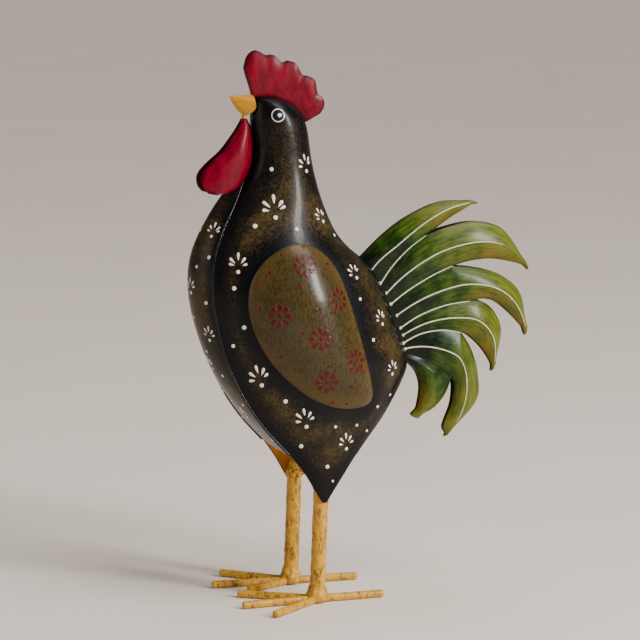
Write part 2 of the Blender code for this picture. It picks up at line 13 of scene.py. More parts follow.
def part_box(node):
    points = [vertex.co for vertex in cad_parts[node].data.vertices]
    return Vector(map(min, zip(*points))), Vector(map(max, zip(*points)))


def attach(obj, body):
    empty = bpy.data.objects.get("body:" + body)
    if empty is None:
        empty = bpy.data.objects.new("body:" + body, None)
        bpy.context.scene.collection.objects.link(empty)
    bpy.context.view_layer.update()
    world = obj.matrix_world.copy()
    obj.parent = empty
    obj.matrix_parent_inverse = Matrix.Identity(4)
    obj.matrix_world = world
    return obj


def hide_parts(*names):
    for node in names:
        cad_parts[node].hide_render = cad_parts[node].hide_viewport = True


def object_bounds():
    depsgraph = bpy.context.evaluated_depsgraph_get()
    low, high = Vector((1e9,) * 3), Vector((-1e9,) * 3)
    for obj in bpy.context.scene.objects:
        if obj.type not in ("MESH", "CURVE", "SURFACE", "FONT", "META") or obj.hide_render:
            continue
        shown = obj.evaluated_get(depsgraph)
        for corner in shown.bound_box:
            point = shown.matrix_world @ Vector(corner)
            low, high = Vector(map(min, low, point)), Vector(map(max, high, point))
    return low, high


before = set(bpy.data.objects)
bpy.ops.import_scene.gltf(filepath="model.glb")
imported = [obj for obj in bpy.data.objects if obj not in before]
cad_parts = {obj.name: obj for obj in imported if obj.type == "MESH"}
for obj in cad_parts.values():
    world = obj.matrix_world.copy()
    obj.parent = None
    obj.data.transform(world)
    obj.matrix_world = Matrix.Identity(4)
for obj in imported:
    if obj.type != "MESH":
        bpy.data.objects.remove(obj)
cad_low, cad_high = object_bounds()

MM = 0.001
SHEET = 1.0              # gauge of the body
MIDDLE_SHEET = 0.9       # gauge of the wings and the wattles
THIN_SHEET = 0.8         # gauge of the comb and the tail
BEAK_SHEET = 0.6
FINE = 6                 # rows drawn between two body stations
ACROSS = 72              # faces across one body side
STRIP_POINTS = 41        # points across the breast and rump strips
# Unevenness of hand-beaten sheet: depth and length of its waves.
SIDE_WAVES = (0.45, 22.0)
STRIP_WAVES = (0.3, 20.0)
COMB_WAVES = (0.22, 6.0)
SIDES = (("left", 1), ("right", -1))

# Body side, from the tip over the leg to the crown: front rail (y, z, x), rear rail (y, z, x), half-width.
STATIONS = (
    ((-35.5, 65.0, 33.6), (-32.5, 65.0, 33.6), 33.9),
    ((-40.5, 73.0, 33.2), (-29.0, 70.5, 33.3), 34.2),
    ((-45.5, 82.0, 32.2), (-22.0, 80.5, 32.5), 35.2),
    ((-50.5, 89.0, 31.0), (-12.5, 93.5, 30.5), 36.4),
    ((-55.0, 95.0, 29.6), (-1.5, 106.0, 27.0), 37.6),
    ((-69.0, 110.0, 27.8), (9.0, 117.0, 22.5), 38.8),
    ((-81.0, 127.0, 26.0), (18.5, 129.0, 16.5), 39.6),
    ((-89.5, 144.0, 23.8), (26.5, 139.5, 10.5), 40.0),
    ((-95.5, 161.0, 22.0), (30.0, 148.0, 6.0), 40.0),
    ((-99.5, 179.0, 21.0), (26.5, 158.0, 6.0), 39.8),
    ((-102.0, 195.0, 20.3), (20.5, 174.0, 6.0), 39.0),
    ((-101.8, 210.0, 19.3), (14.5, 189.5, 6.0), 37.4),
    ((-99.5, 223.0, 17.8), (8.5, 203.5, 6.0), 35.0),
    ((-94.0, 236.5, 14.6), (0.5, 213.5, 6.0), 31.8),
    ((-85.0, 250.5, 9.0), (-7.0, 219.5, 0.0), 27.6),
    ((-78.0, 263.0, 3.0), (-15.5, 229.0, 0.0), 23.6),
    ((-72.4, 274.5, 0.8), (-22.5, 242.0, 0.0), 20.4),
    ((-70.4, 286.0, 0.0), (-28.0, 257.0, 0.0), 18.2),
    ((-71.0, 297.0, 0.0), (-31.5, 272.0, 0.0), 17.0),
    ((-71.4, 306.0, 0.0), (-33.8, 287.0, 0.0), 16.4),
    ((-71.0, 312.6, 0.0), (-36.0, 299.5, 0.0), 15.2),
    ((-69.8, 316.6, 0.0), (-41.5, 308.6, 0.0), 12.4),
    ((-65.6, 317.9, 0.0), (-49.0, 314.4, 0.0), 8.0),
    ((-58.6, 317.6, 0.0), (-54.6, 316.6, 0.0), 3.0),
)
BREAST_STATIONS = (4, 16)
BREAST_BULGE = (1.0, 1.5, 3.0, 5.5, 7.5, 9.0, 9.8, 10.0, 9.8, 9.0, 10.4, 7.5, 0.6)
RUMP_STATIONS = (3, 7.5)
RUMP_BULGE = (1.0, 2.0, 3.0, 3.0, 2.0)
RUMP_OUT = (0.6, -0.8)   # the direction (y, z) in which the rump strip bulges
NECK_FROM = 232.0        # the black border widens up the neck from here
NECK_OVER = 36.0
BLACK_ABOVE = 311.0      # the crown is all black
SEAM_BEADS = (81, 79, 77, 75, 72)        # fine rows that carry a bead of weld, from the top down

# Comb: pairs of base point and edge point (y, z), front to rear, and the columns where its lobes part.
COMB = (
    ((-70.8, 317.6), (-76.0, 335.0)),
    ((-68.6, 316.2), (-73.4, 342.6)),
    ((-65.6, 316.2), (-68.0, 346.0)),
    ((-62.0, 317.0), (-62.0, 343.0)),
    ((-59.0, 316.4), (-56.6, 342.8)),
    ((-56.0, 315.6), (-51.2, 338.2)),
    ((-53.0, 314.7), (-46.6, 339.0)),
    ((-50.5, 313.8), (-42.0, 336.8)),
    ((-48.0, 312.6), (-38.2, 330.2)),
    ((-45.5, 311.0), (-34.2, 329.2)),
    ((-43.2, 309.4), (-30.0, 326.4)),
    ((-41.2, 307.8), (-28.2, 318.2)),
    ((-39.2, 305.6), (-24.8, 315.4)),
    ((-37.4, 303.2), (-24.0, 310.0)),
    ((-35.8, 300.4), (-27.0, 305.0)),
)
COMB_NOTCHES = (3, 5, 8, 11)
COMB_FLUTE = 0.05        # how much the dome sinks towards a notch
COMB_FLUTE_WIDTH = 0.55
COMB_FINE = 8            # columns drawn between two points of the table
COMB_ROWS = 25
COMB_AIR = 0.95          # from the middle plane to the outer face where the dome is flat
COMB_LIFT = 1.15
COMB_RISE = (0.3, 0.9, 1.4, 1.7, 1.8, 1.6, 1.0)

BEAK_TIP = (0.0, -85.2, 318.2)
BEAK_MIDDLE = (-70.2, 312.1)
BEAK_HALF_WIDTH = 7.6
BEAK_HALF_HEIGHT = 6.6
BEAK_LAP = (0.6, 6.0)                   # how far the rear edge sweeps forward at its top and at its bottom
BEAK_CHIN = 0.8                         # how far the underside bulges
BEAK_AROUND = 64
BEAK_RINGS = 22
TAB_PATH = ((0.0, -75.9, 306.6), (0.0, -76.0, 302.6))
TAB_RADII = (1.0, 1.5)

# Wattle: front rail (y, z) and rear rail (y, z), top to bottom.
WATTLE = (
    ((-77.4, 304.0), (-74.4, 304.0)),
    ((-80.8, 298.0), (-71.8, 298.6)),
    ((-86.4, 290.0), (-71.2, 292.0)),
    ((-91.8, 283.4), (-71.2, 283.0)),
    ((-100.2, 276.0), (-72.4, 275.0)),
    ((-105.0, 269.6), (-77.2, 266.0)),
    ((-104.6, 263.0), (-82.4, 260.8)),
    ((-101.0, 258.6), (-90.6, 257.6)),
)
WATTLE_X = (1.6, 7.2)        # outer edge at the top and at the bottom
WATTLE_SPREAD = 1.6          # power with which the two wattles part downward
WATTLE_DOME = 4.8
WATTLE_LOWEST = 0.94         # how far down the dome keeps its height

# Wing outline (y, z), clockwise from the top as seen from the rooster's left.
WING = (
    (-49.0, 229.0), (-40.0, 226.0), (-31.5, 219.0), (-24.5, 208.5), (-18.5, 192.5),
    (-13.0, 174.5), (-8.0, 156.0), (-4.0, 140.0), (-2.6, 131.6), (-6.0, 126.4),
    (-14.0, 124.6), (-24.0, 124.8), (-35.0, 127.6), (-46.5, 133.4), (-58.0, 142.6),
    (-68.0, 153.4), (-76.0, 166.0), (-81.5, 180.0), (-83.6, 194.0), (-81.4, 206.5),
    (-75.0, 217.0), (-66.5, 224.4), (-58.0, 228.2),
)
WING_CENTRE = (-46.0, 181.0)
WING_DOME = 9.6
WING_FLATTEN = 2.2           # powers that round the wing's rim and flatten its middle
WING_ROUND = 0.7
WING_AIR = 0.35
WING_LIFT = 2.5              # how far the top of the wing stands further off the narrowing neck
WING_LIFT_FROM = 205.0
WING_LIFT_OVER = 24.0
WING_RINGS = 30

# Tail: roots on the body's rear edge and the notches where two feathers part (y, z).
TAIL_ROOTS = (
    (-3.0, 210.5), (10.1, 193.6), (15.4, 180.8), (21.5, 165.4), (24.0, 156.3), (25.2, 152.0), (26.0, 148.0),
)
TAIL_NOTCHES = (
    (0.0, 214.0), (42.0, 226.0), (60.0, 206.0), (72.0, 183.0), (67.0, 163.0), (60.5, 135.0), (30.0, 146.0),
)
TAIL_ARCS = (0.0, 3.0, 2.2, 4.2, 5.2, 3.0, 0.0)        # how far each valley arches above its chord
# Outer face of the tail, root to tip: at a feather's edges, on its midrib, along the tail's own borders.
TAIL_EDGE_X = (4.8, 4.8, 4.7, 4.4, 3.4, 2.2, 1.5, 1.2)
TAIL_RIDGE_X = (4.9, 5.4, 7.0, 8.0, 8.2, 7.4, 5.4, 2.4)
TAIL_FREE_X = (3.2, 1.9, 1.5, 1.4, 1.4, 1.4, 1.3, 1.2)
TIP_STEPS = (0.3, 0.55, 0.75, 0.9, 1.0)
COMMON_FEATHER = 95.0                              # length to which feathers are scaled for their colours
TIP_RADIUS = 3.1
FEATHER_POINTS = 25                                # points across a feather
LINE_START = 3                                     # where the cream lines leave the body
VALLEY_END = 26
MIDRIB_REACH = (0.90, 0.76, 0.92, 0.90, 0.86)      # how much of each midrib carries a cream line
LINE_RADIUS = 0.48
LINE_TAPER = 0.18
# Per feather: upper edge beyond its notch, tip, lower edge from the tip back to its notch.
TAIL_FEATHERS = (
    (
        ((16.0, 228.5), (33.0, 239.5), (54.0, 247.2)),
        (77.0, 246.2),
        ((69.0, 241.6), (60.0, 237.0), (51.0, 231.5)),
    ),
    (
        ((57.0, 231.0), (76.0, 233.6), (96.0, 227.5)),
        (113.0, 203.0),
        ((101.0, 206.8), (87.0, 209.4), (73.0, 208.8)),
    ),
    (
        ((77.0, 204.0), (94.0, 198.6), (108.0, 185.6)),
        (112.4, 160.6),
        ((103.0, 171.0), (92.0, 180.6), (82.0, 184.0)),
    ),
    (
        ((81.0, 182.4), (90.0, 175.0), (95.0, 161.0)),
        (90.0, 138.0),
        ((85.0, 147.0), (79.6, 154.0), (73.0, 160.0)),
    ),
    (
        ((74.0, 152.0), (79.0, 136.0), (78.0, 117.5)),
        (58.5, 96.8),
        ((55.6, 102.8), (61.0, 116.8), (62.4, 129.0)),
    ),
    (
        ((57.6, 126.0), (53.4, 119.0), (47.0, 113.4)),
        (36.0, 109.6),
        ((38.6, 119.0), (39.8, 130.0), (36.6, 139.6)),
    ),
)

# Paint dabs on the body's side: fans are (y, z of the dot, lean in degrees, height); dots are (y, z, radius).
SIDE_FANS = (
    (-63.0, 244.5, 0, 15.0), (-39.8, 271.5, -3, 11.2), (-88.3, 212.2, 4, 12.0), (-74.7, 141.3, -14, 13.6),
    (-47.2, 114.6, -6, 12.4), (-20.5, 98.8, -4, 10.6), (7.0, 174.5, -6, 10.0), (13.0, 142.8, 0, 9.0),
    (-11.0, 205.0, -14, 10.0), (-30.0, 240.0, -14, 9.6),
)
SIDE_DOTS = (
    (-62.7, 273.5, 1.5), (-75.9, 239.6, 1.7), (-50.1, 237.2, 1.5), (-90.9, 202.1, 1.6), (-85.4, 177.8, 1.6),
    (-91.2, 165.9, 1.4), (-60.5, 131.2, 1.6), (-49.8, 101.9, 1.6), (-33.1, 88.2, 1.5), (-28.6, 113.7, 1.2),
    (-13.6, 113.3, 1.1), (-5.6, 108.6, 1.1), (-9.8, 192.0, 1.3), (-1.5, 166.0, 1.4), (2.2, 123.1, 1.2),
    (12.7, 129.0, 1.2), (-22.1, 230.9, 1.2), (-29.0, 78.5, 1.0),
)
# A fan's petals: lean in degrees, distance of the point from where the petals meet, length.
FAN_PETALS = ((-6, 4.8, 6.3), (-46, 3.8, 6.0), (33, 3.3, 5.7), (-79, 3.6, 4.4), (64, 3.2, 4.2))
FAN_RISE = 3.8           # the petals meet this far above the dot
FAN_HEIGHT = 15.0        # height of the fan that these lengths make
FAN_DOT = 1.45
FAN_PETAL_WIDTH = 2.3
SIDE_DOT_SCALE = 0.88
# The same on the breast strip, by (x, z).
BREAST_FANS = (
    (11.0, 232.6, 10, 9.6), (-9.0, 217.0, -8, 9.0), (3.5, 197.0, 2, 10.0), (13.0, 168.0, 8, 9.6),
    (-11.0, 178.0, -8, 9.6), (1.0, 148.0, 0, 9.6), (-13.0, 131.0, -8, 9.2), (7.0, 117.0, 6, 9.2),
)
BREAST_DOTS = (
    (-1.6, 235.1, 1.1), (15.0, 220.2, 1.2), (8.5, 213.8, 1.1), (15.8, 192.0, 1.2), (0.5, 181.1, 1.1),
    (5.0, 159.9, 1.1), (12.5, 145.1, 1.1), (-15.0, 199.0, 1.1), (-14.0, 156.0, 1.1), (18.0, 127.0, 1.1),
    (-4.0, 126.0, 1.1), (-20.0, 112.0, 1.1), (20.0, 104.0, 1.1), (-5.0, 104.0, 1.1), (-8.0, 192.0, 1.0),
)
# Red flowers and dots on the wings, by (y, z).
FLOWERS = ((-49.4, 216.7), (-67.0, 186.1), (-41.7, 171.5), (-28.0, 194.5), (-17.4, 155.4), (-37.1, 143.7))
FLOWER_PETALS = 8
FLOWER_DOT = 1.6
BREAST_SEED = 20
RED_DOTS = (
    (-48.8, 227.0), (-63.2, 223.0), (-71.0, 212.6), (-68.2, 200.4), (-77.6, 190.0),
    (-53.3, 203.8), (-44.5, 189.5), (-53.3, 175.7), (-64.7, 160.4), (-53.4, 151.7),
    (-36.3, 154.2), (-20.9, 139.7), (-8.5, 135.5), (-31.8, 129.8), (-24.8, 165.2),
    (-20.5, 175.6), (-25.2, 204.9), (-33.5, 216.0), (-22.4, 128.6), (-11.0, 148.0),
)
RED_DOT = 1.15
EYE = (-58.2, 306.8)
DAB_ABOVE = 6.0          # a dab's points start this far above the surface and look for it below
DAB_REACH = 14.0
# Sections of paint laid on a surface: (scale of the outline, height), from its border to its middle.
DAB = ((1.0, -0.12), (0.97, 0.10), (0.8, 0.24), (0.45, 0.34))
FLAT_DAB = ((1.0, -0.10), (0.95, 0.05), (0.8, 0.11), (0.4, 0.14))
# The eye's discs: piece, radius, points round it, shift to the front, section.
EYE_DISCS = (
    ("eye_ring", 4.3, 48, 0.0, ((1.0, -0.1), (0.98, 0.14), (0.9, 0.24), (0.8, 0.2))),
    ("eye_pupil", 3.62, 40, 0.0, ((1.0, 0.1), (0.98, 0.30), (0.85, 0.36), (0.4, 0.38))),
    ("eye_spark", 1.3, 24, 0.8, ((1.0, 0.2), (0.95, 0.48), (0.7, 0.6), (0.35, 0.64))),
)

# Legs and feet, as the frame has them.
LEG_X = 27.5
FOOT_Y = -37.0
LEG_Y = -34.0
WELD_Z = 73.5
TOE_ROOT = 5.0        # how far the toes run in under the ankle weld
TOES = {                 # degrees outward from straight ahead, start and end from the leg's centre line
    "left": (
        ("inner", -33.0, 9.0, 52.0),
        ("middle", 4.0, 0.0, 50.0),
        ("outer", 41.0, 8.6, 50.5),
        ("back", 181.5, 0.4, 44.0),
    ),
    "right": (
        ("inner", -28.0, 10.2, 38.0),
        ("middle", 3.0, 0.0, 52.0),
        ("outer", 43.0, 8.4, 50.5),
        ("back", 181.5, 0.4, 44.0),
    ),
}
LEG_RADIUS = 4.75
LEG_BOTTOM = 5.4
TOE_RADIUS = 2.42
TOE_HEIGHT = 2.5
THIGH_BEADS = 13
THIGH_START = 78.0       # degrees round the leg at which its upper beads start
BEAD_STEP = {"left": 10.5, "right": 14.5}
BEAD_REACH = 5.2
ROD_END = 0.35           # a rod's rounded end, over its radius
ROD_END_SCALE = 0.72
LEG_FLATTEN = 0.45       # how much a leg's top is squeezed inside the body side
# Section of the ankle weld: radius and height, from the ground up.
ANKLE = ((4.6, 0.7), (6.4, 2.4), (6.9, 4.6), (6.3, 6.8), (5.6, 9.0), (5.05, 11.2))

# Light, dark and streaks of the two yellow paints.
BEAK_COLOURS = ((0.600, 0.290, 0.004), (0.420, 0.180, 0.003), (0.380, 0.140, 0.005))
LEG_COLOURS = ((0.680, 0.370, 0.022), (0.520, 0.250, 0.012), (0.150, 0.062, 0.010))

# Camera and lights, in metres. A light is (name, ahead, right, up, size, power, colour), placed from the aim.
CAMERA_AZIMUTH = 72.0
CAMERA_ELEVATION = 9.0
CAMERA_DISTANCE = 2.4
CAMERA_LENS = 214.0
AIM_SHIFT = (-0.0062, -0.0246, 0.001)
FLOOR_RADIUS = 14.0
SOFTBOXES = (
    ("tall_window", 0.90, 1.25, 0.62, (0.30, 0.66), 34.0, (1.0, 0.98, 0.96)),
    ("left_fill", 0.6, -1.7, 0.5, (0.8, 1.2), 5.0, (0.94, 0.96, 1.0)),
    ("overhead", -0.35, 0.2, 1.6, (1.2, 1.2), 9.0, (1.0, 0.98, 0.95)),
)


# ---------------------------------------------------------------- lines and grids

def smooth_line(points, per):
    """A Catmull-Rom line through points, with per steps between each two."""
    p = np.array(points, float)
    last = len(p) - 1
    out = []
    for k in range(last):
        a, b, c, d = p[max(k - 1, 0)], p[k], p[k + 1], p[min(k + 2, last)]
        square = 2 * a - 5 * b + 4 * c - d
        cube = 3 * b - a - 3 * c + d
        for i in range(per):
            f = i / per
            out.append(0.5 * (2 * b + (c - a) * f + square * f * f + cube * f ** 3))
    out.append(p[last])
    return np.array(out)


def closed_line(points, per):
    """A closed Catmull-Rom line through points."""
    p = list(points)
    return smooth_line([p[-1], *p, p[0], p[1]], per)[per:-per - 1]


def relaxed(line, times):
    """The line with its unevenness averaged out and its ends kept."""
    line = line.copy()
    for _ in range(times):
        line[1:-1] = 0.25 * line[:-2] + 0.5 * line[1:-1] + 0.25 * line[2:]
    return line


def grid_normals(grid, wrap=False):
    """Unit normals of a grid of points whose rows run up and whose columns run right."""
    up = np.gradient(grid, axis=0)
    if wrap:
        along = np.roll(grid, -1, axis=1) - np.roll(grid, 1, axis=1)
    else:
        along = np.gradient(grid, axis=1)
    n = np.cross(along, up)
    return n / np.maximum(np.linalg.norm(n, axis=-1, keepdims=True), 1e-9)


def border_loop(rows, cols):
    """Indices round the border of a grid."""
    top = [(0, j) for j in range(cols)]
    right = [(i, cols - 1) for i in range(1, rows)]
    bottom = [(rows - 1, j) for j in range(cols - 2, -1, -1)]
    left = [(i, 0) for i in range(rows - 2, 0, -1)]
    return [i * cols + j for i, j in top + right + bottom + left]


def shell_data(outer, inner, wrap=False, pole=False):
    """Vertices and faces of a closed sheet between two grids. pole closes a wrapped grid's last row."""
    rows, cols = outer.shape[:2]
    verts = np.concatenate([outer.reshape(-1, 3), inner.reshape(-1, 3)])
    base = rows * cols
    faces = []
    spans = cols if wrap else cols - 1
    for i in range(rows - 1):
        for j in range(spans):
            k = (j + 1) % cols
            a, b, c, d = i * cols + j, i * cols + k, (i + 1) * cols + k, (i + 1) * cols + j
            faces.append((a, b, c, d))
            faces.append((base + d, base + c, base + b, base + a))
    if wrap:
        rims = [[j for j in range(cols)]]
        if not pole:
            rims.append([(rows - 1) * cols + j for j in range(cols)][::-1])
        else:
            faces.append(tuple((rows - 1) * cols + j for j in range(cols)))
            faces.append(tuple(base + (rows - 1) * cols + j for j in range(cols))[::-1])
    else:
        rims = [border_loop(rows, cols)]
    for loop in rims:
        for a, b in zip(loop, loop[1:] + loop[:1]):
            faces.append((b, a, base + a, base + b))
    return verts, faces


def mesh_object(name, verts, faces, mats, attributes=None, slot=None, replaces=(), sharp=40, faces_slot=None):
    """A mesh piece in millimetres, put in the frame in metres and riding on its body."""
    mesh = bpy.data.meshes.new(name)
    mesh.from_pydata((np.asarray(verts) * MM).tolist(), [], faces)
    for key, values in (attributes or {}).items():
        layer = mesh.attributes.new(key, "FLOAT", "POINT")
        layer.data.foreach_set("value", np.asarray(values, np.float32))
    mesh.update()
    if faces_slot is not None:
        mesh.polygons.foreach_set("material_index", np.asarray(faces_slot, np.int32))
    mesh.shade_smooth()
    mesh.set_sharp_from_angle(angle=math.radians(sharp))
    obj = bpy.data.objects.new(name, mesh)
    for mat in mats:
        mesh.materials.append(mat)
    bpy.context.scene.collection.objects.link(obj)
    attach(obj, "root")
    if replaces:
        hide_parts(*replaces)
    return obj


def mirrored(verts, faces, sign):
    """The same mesh on the rooster's right when sign is -1."""
    if sign > 0:
        return verts, faces
    return verts * np.array([-1.0, 1.0, 1.0]), [f[::-1] for f in faces]


def joined(parts):
    """Several meshes of (verts, faces) as one."""
    verts = []
    faces = []
    count = 0
    for v, f in parts:
        verts.append(v)
        faces.extend(tuple(i + count for i in face) for face in f)
        count += len(v)
    return np.concatenate(verts), faces


def soften_rims(obj, width, limit=55):
    """A small bevel on a sheet's cut edges, where paint rounds them."""
    bevel = obj.modifiers.new("rounded rims", "BEVEL")
    bevel.width = width * MM
    bevel.segments = 2
    bevel.limit_method = "ANGLE"
    bevel.angle_limit = math.radians(limit)
    bevel.harden_normals = False


# ---------------------------------------------------------------- materials

def node(tree, kind, **inputs):
    made = tree.nodes.new(kind)
    for key, value in inputs.items():
        made.inputs[key.replace("_", " ")].default_value = value
    return made


def new_material(name, roughness, coat=0.0, coat_roughness=0.1, specular=0.5):
    mat = bpy.data.materials.new(name)
    mat.use_nodes = True
    shader = mat.node_tree.nodes["Principled BSDF"]
    shader.inputs["Roughness"].default_value = roughness
    shader.inputs["Specular IOR Level"].default_value = specular
    shader.inputs["Coat Weight"].default_value = coat
    shader.inputs["Coat Roughness"].default_value = coat_roughness
    return mat, mat.node_tree, shader


def noise_of(tree, scale, detail=4.0, rough=0.55, vector=None, distortion=0.0):
    """A noise texture over the object's own coordinates, or over vector."""
    settings = {"Scale": scale, "Detail": detail, "Roughness": rough, "Distortion": distortion}
    made = node(tree, "ShaderNodeTexNoise", **settings)
    if vector is None:
        coords = tree.nodes.new("ShaderNodeTexCoord")
        vector = coords.outputs["Object"]
    tree.links.new(vector, made.inputs["Vector"])
    return made.outputs["Fac"]


def attribute(tree, name):
    made = tree.nodes.new("ShaderNodeAttribute")
    made.attribute_name = name
    return made.outputs["Fac"]


def remap(tree, value, low, high, to_low=0.0, to_high=1.0, smooth=True):
    made = tree.nodes.new("ShaderNodeMapRange")
    made.interpolation_type = "SMOOTHSTEP" if smooth else "LINEAR"
    for key, number in (("From Min", low), ("From Max", high), ("To Min", to_low), ("To Max", to_high)):
        made.inputs[key].default_value = number
    tree.links.new(value, made.inputs["Value"])
    return made.outputs["Result"]


def maths(tree, operation, a, b=None):
    made = tree.nodes.new("ShaderNodeMath")
    made.operation = operation
    for socket, value in zip(made.inputs, (a, b)):
        if value is None:
            continue
        if isinstance(value, (int, float)):
            socket.default_value = value
        else:
            tree.links.new(value, socket)
    return made.outputs[0]


def mix(tree, factor, a, b):
    made = tree.nodes.new("ShaderNodeMix")
    made.data_type = "RGBA"
    colour_a, colour_b = [s for s in made.inputs if s.type == "RGBA"]
    factor_in = made.inputs[0]
    for socket, value in ((factor_in, factor), (colour_a, a), (colour_b, b)):
        if isinstance(value, tuple):
            socket.default_value = (*value, 1.0)
        elif isinstance(value, (int, float)):
            socket.default_value = value
        else:
            tree.links.new(value, socket)
    return [s for s in made.outputs if s.type == "RGBA"][0]


def bumped(tree, shader, layers):
    """Stacks bump layers of (height, distance in mm, strength) onto a shader."""
    normal = None
    for height, distance, strength in layers:
        made = node(tree, "ShaderNodeBump", Strength=strength, Distance=distance * MM)
        tree.links.new(height, made.inputs["Height"])
        if normal is not None:
            tree.links.new(normal, made.inputs["Normal"])
        normal = made.outputs["Normal"]
    tree.links.new(normal, shader.inputs["Normal"])


def set_colour(tree, shader, colour):
    tree.links.new(colour, shader.inputs["Base Color"])


def set_roughness(tree, shader, value, low, high):
    tree.links.new(remap(tree, value, 0.3, 0.7, low, high), shader.inputs["Roughness"])


def body_paint():
    """Black enamel with golden brown sponged over it, away from each panel's border."""
    mat, tree, shader = new_material("black_and_brown_enamel", 0.3, 0.08, 0.10, 0.13)
    patchy = noise_of(tree, 48, 3, 0.6)
    speckle = noise_of(tree, 560, 5, 0.75)
    grain = noise_of(tree, 1700, 2, 0.6)
    ragged = maths(tree, "ADD", attribute(tree, "border"), remap(tree, speckle, 0.3, 0.7, -3.0, 3.0))
    middle = remap(tree, ragged, 4.5, 19.0)
    covered = maths(tree, "MULTIPLY", middle, remap(tree, patchy, 0.34, 0.62, 0.30, 1.0))
    dabbed = maths(tree, "MULTIPLY", covered, remap(tree, speckle, 0.36, 0.64, 0.34, 1.0))
    dusted = maths(tree, "MULTIPLY", dabbed, remap(tree, grain, 0.35, 0.65, 0.62, 1.0))
    brown = mix(tree, remap(tree, patchy, 0.4, 0.6), (0.064, 0.043, 0.0155), (0.084, 0.055, 0.0165))
    set_colour(tree, shader, mix(tree, dusted, (0.0020, 0.0020, 0.0028), brown))
    set_roughness(tree, shader, speckle, 0.26, 0.42)
    bumped(tree, shader, ((patchy, 1.2, 0.25), (speckle, 0.12, 0.35), (grain, 0.03, 0.3)))
    return mat


def inside_paint():
    """The orange coat inside the hollow body, brushed on thinly."""
    mat, tree, shader = new_material("orange_inside", 0.6)
    patchy = noise_of(tree, 90, 4, 0.6)
    fine = noise_of(tree, 900, 3, 0.6)
    varied = mix(tree, remap(tree, patchy, 0.35, 0.65), (0.72, 0.29, 0.012), (0.52, 0.19, 0.010))
    set_colour(tree, shader, varied)
    set_roughness(tree, shader, patchy, 0.5, 0.7)
    bumped(tree, shader, ((fine, 0.1, 0.4),))
    return mat


def wing_paint():
    """Olive ochre over a darker ground, brushed in fine slanting strokes, with a rust tint near the rim and a
    thin line of painted shade at the rim itself.
    """
    mat, tree, shader = new_material("olive_ochre_enamel", 0.26, 0.12, 0.12, 0.16)
    coords = tree.nodes.new("ShaderNodeTexCoord")
    slant = node(tree, "ShaderNodeMapping", Rotation=(0.9, 0.0, 0.0), Scale=(420.0, 640.0, 300.0))
    tree.links.new(coords.outputs["Object"], slant.inputs["Vector"])
    strokes = noise_of(tree, 1.0, 4, 0.65, slant.outputs["Vector"])
    patchy = noise_of(tree, 60, 4, 0.6)
    speckle = noise_of(tree, 700, 5, 0.7)
    grain = noise_of(tree, 1500, 3, 0.6)
    brushed = maths(tree, "ADD", maths(tree, "MULTIPLY", strokes, 0.6), maths(tree, "MULTIPLY", speckle, 0.4))
    base = mix(tree, remap(tree, brushed, 0.40, 0.60), (0.027, 0.018, 0.0050), (0.058, 0.039, 0.0095))
    tinted = mix(tree, remap(tree, patchy, 0.35, 0.7, 0.0, 0.6), base, (0.036, 0.030, 0.0105))
    near_rim = remap(tree, attribute(tree, "border"), 1.0, 15.0, 0.6, 0.0)
    rust = maths(tree, "MULTIPLY", near_rim, remap(tree, patchy, 0.3, 0.6, 0.3, 1.0))
    toned = mix(tree, rust, tinted, (0.100, 0.055, 0.0120))
    # A thin dark line round the rim: painted shade where the wing's edge sits on the body.
    rim = remap(tree, attribute(tree, "border"), 0.3, 1.4)
    set_colour(tree, shader, mix(tree, rim, (0.030, 0.022, 0.012), toned))
    set_roughness(tree, shader, brushed, 0.20, 0.36)
    bumped(tree, shader, ((patchy, 0.9, 0.2), (strokes, 0.06, 0.4), (speckle, 0.08, 0.3), (grain, 0.02, 0.3)))
    return mat


def crimson_paint():
    """Thick glossy crimson with brushed streaks, darker at the borders: a dark outline painted along the free
    edges, and painted shade at the base where it meets the head and on the inner faces.
    """
    mat, tree, shader = new_material("crimson_gloss", 0.36, 0.09, 0.20, 0.11)
    coords = tree.nodes.new("ShaderNodeTexCoord")
    stretch = node(tree, "ShaderNodeMapping", Scale=(300.0, 70.0, 30.0))
    tree.links.new(coords.outputs["Object"], stretch.inputs["Vector"])
    streaks = noise_of(tree, 3.2, 4, 0.6, stretch.outputs["Vector"])
    patchy = noise_of(tree, 120, 3, 0.6)
    fine = noise_of(tree, 1300, 3, 0.6)
    red = mix(tree, remap(tree, streaks, 0.35, 0.65), (0.105, 0.0001, 0.0062), (0.180, 0.0002, 0.0130))
    # Darker in a band round each shell's rim and over its inner face: a dark outline painted along the free
    # edges, and painted shade at the base against the head and on the inner face between the two shells.
    outline_and_shade = maths(tree, "ADD", attribute(tree, "border"), remap(tree, patchy, 0.3, 0.7, -0.8, 0.8))
    edge = remap(tree, outline_and_shade, 0.0, 2.6)
    set_colour(tree, shader, mix(tree, edge, (0.050, 0.0006, 0.0040), red))
    set_roughness(tree, shader, patchy, 0.3, 0.46)
    bumped(tree, shader, ((patchy, 0.35, 0.3), (streaks, 0.08, 0.4), (fine, 0.02, 0.3)))
    return mat


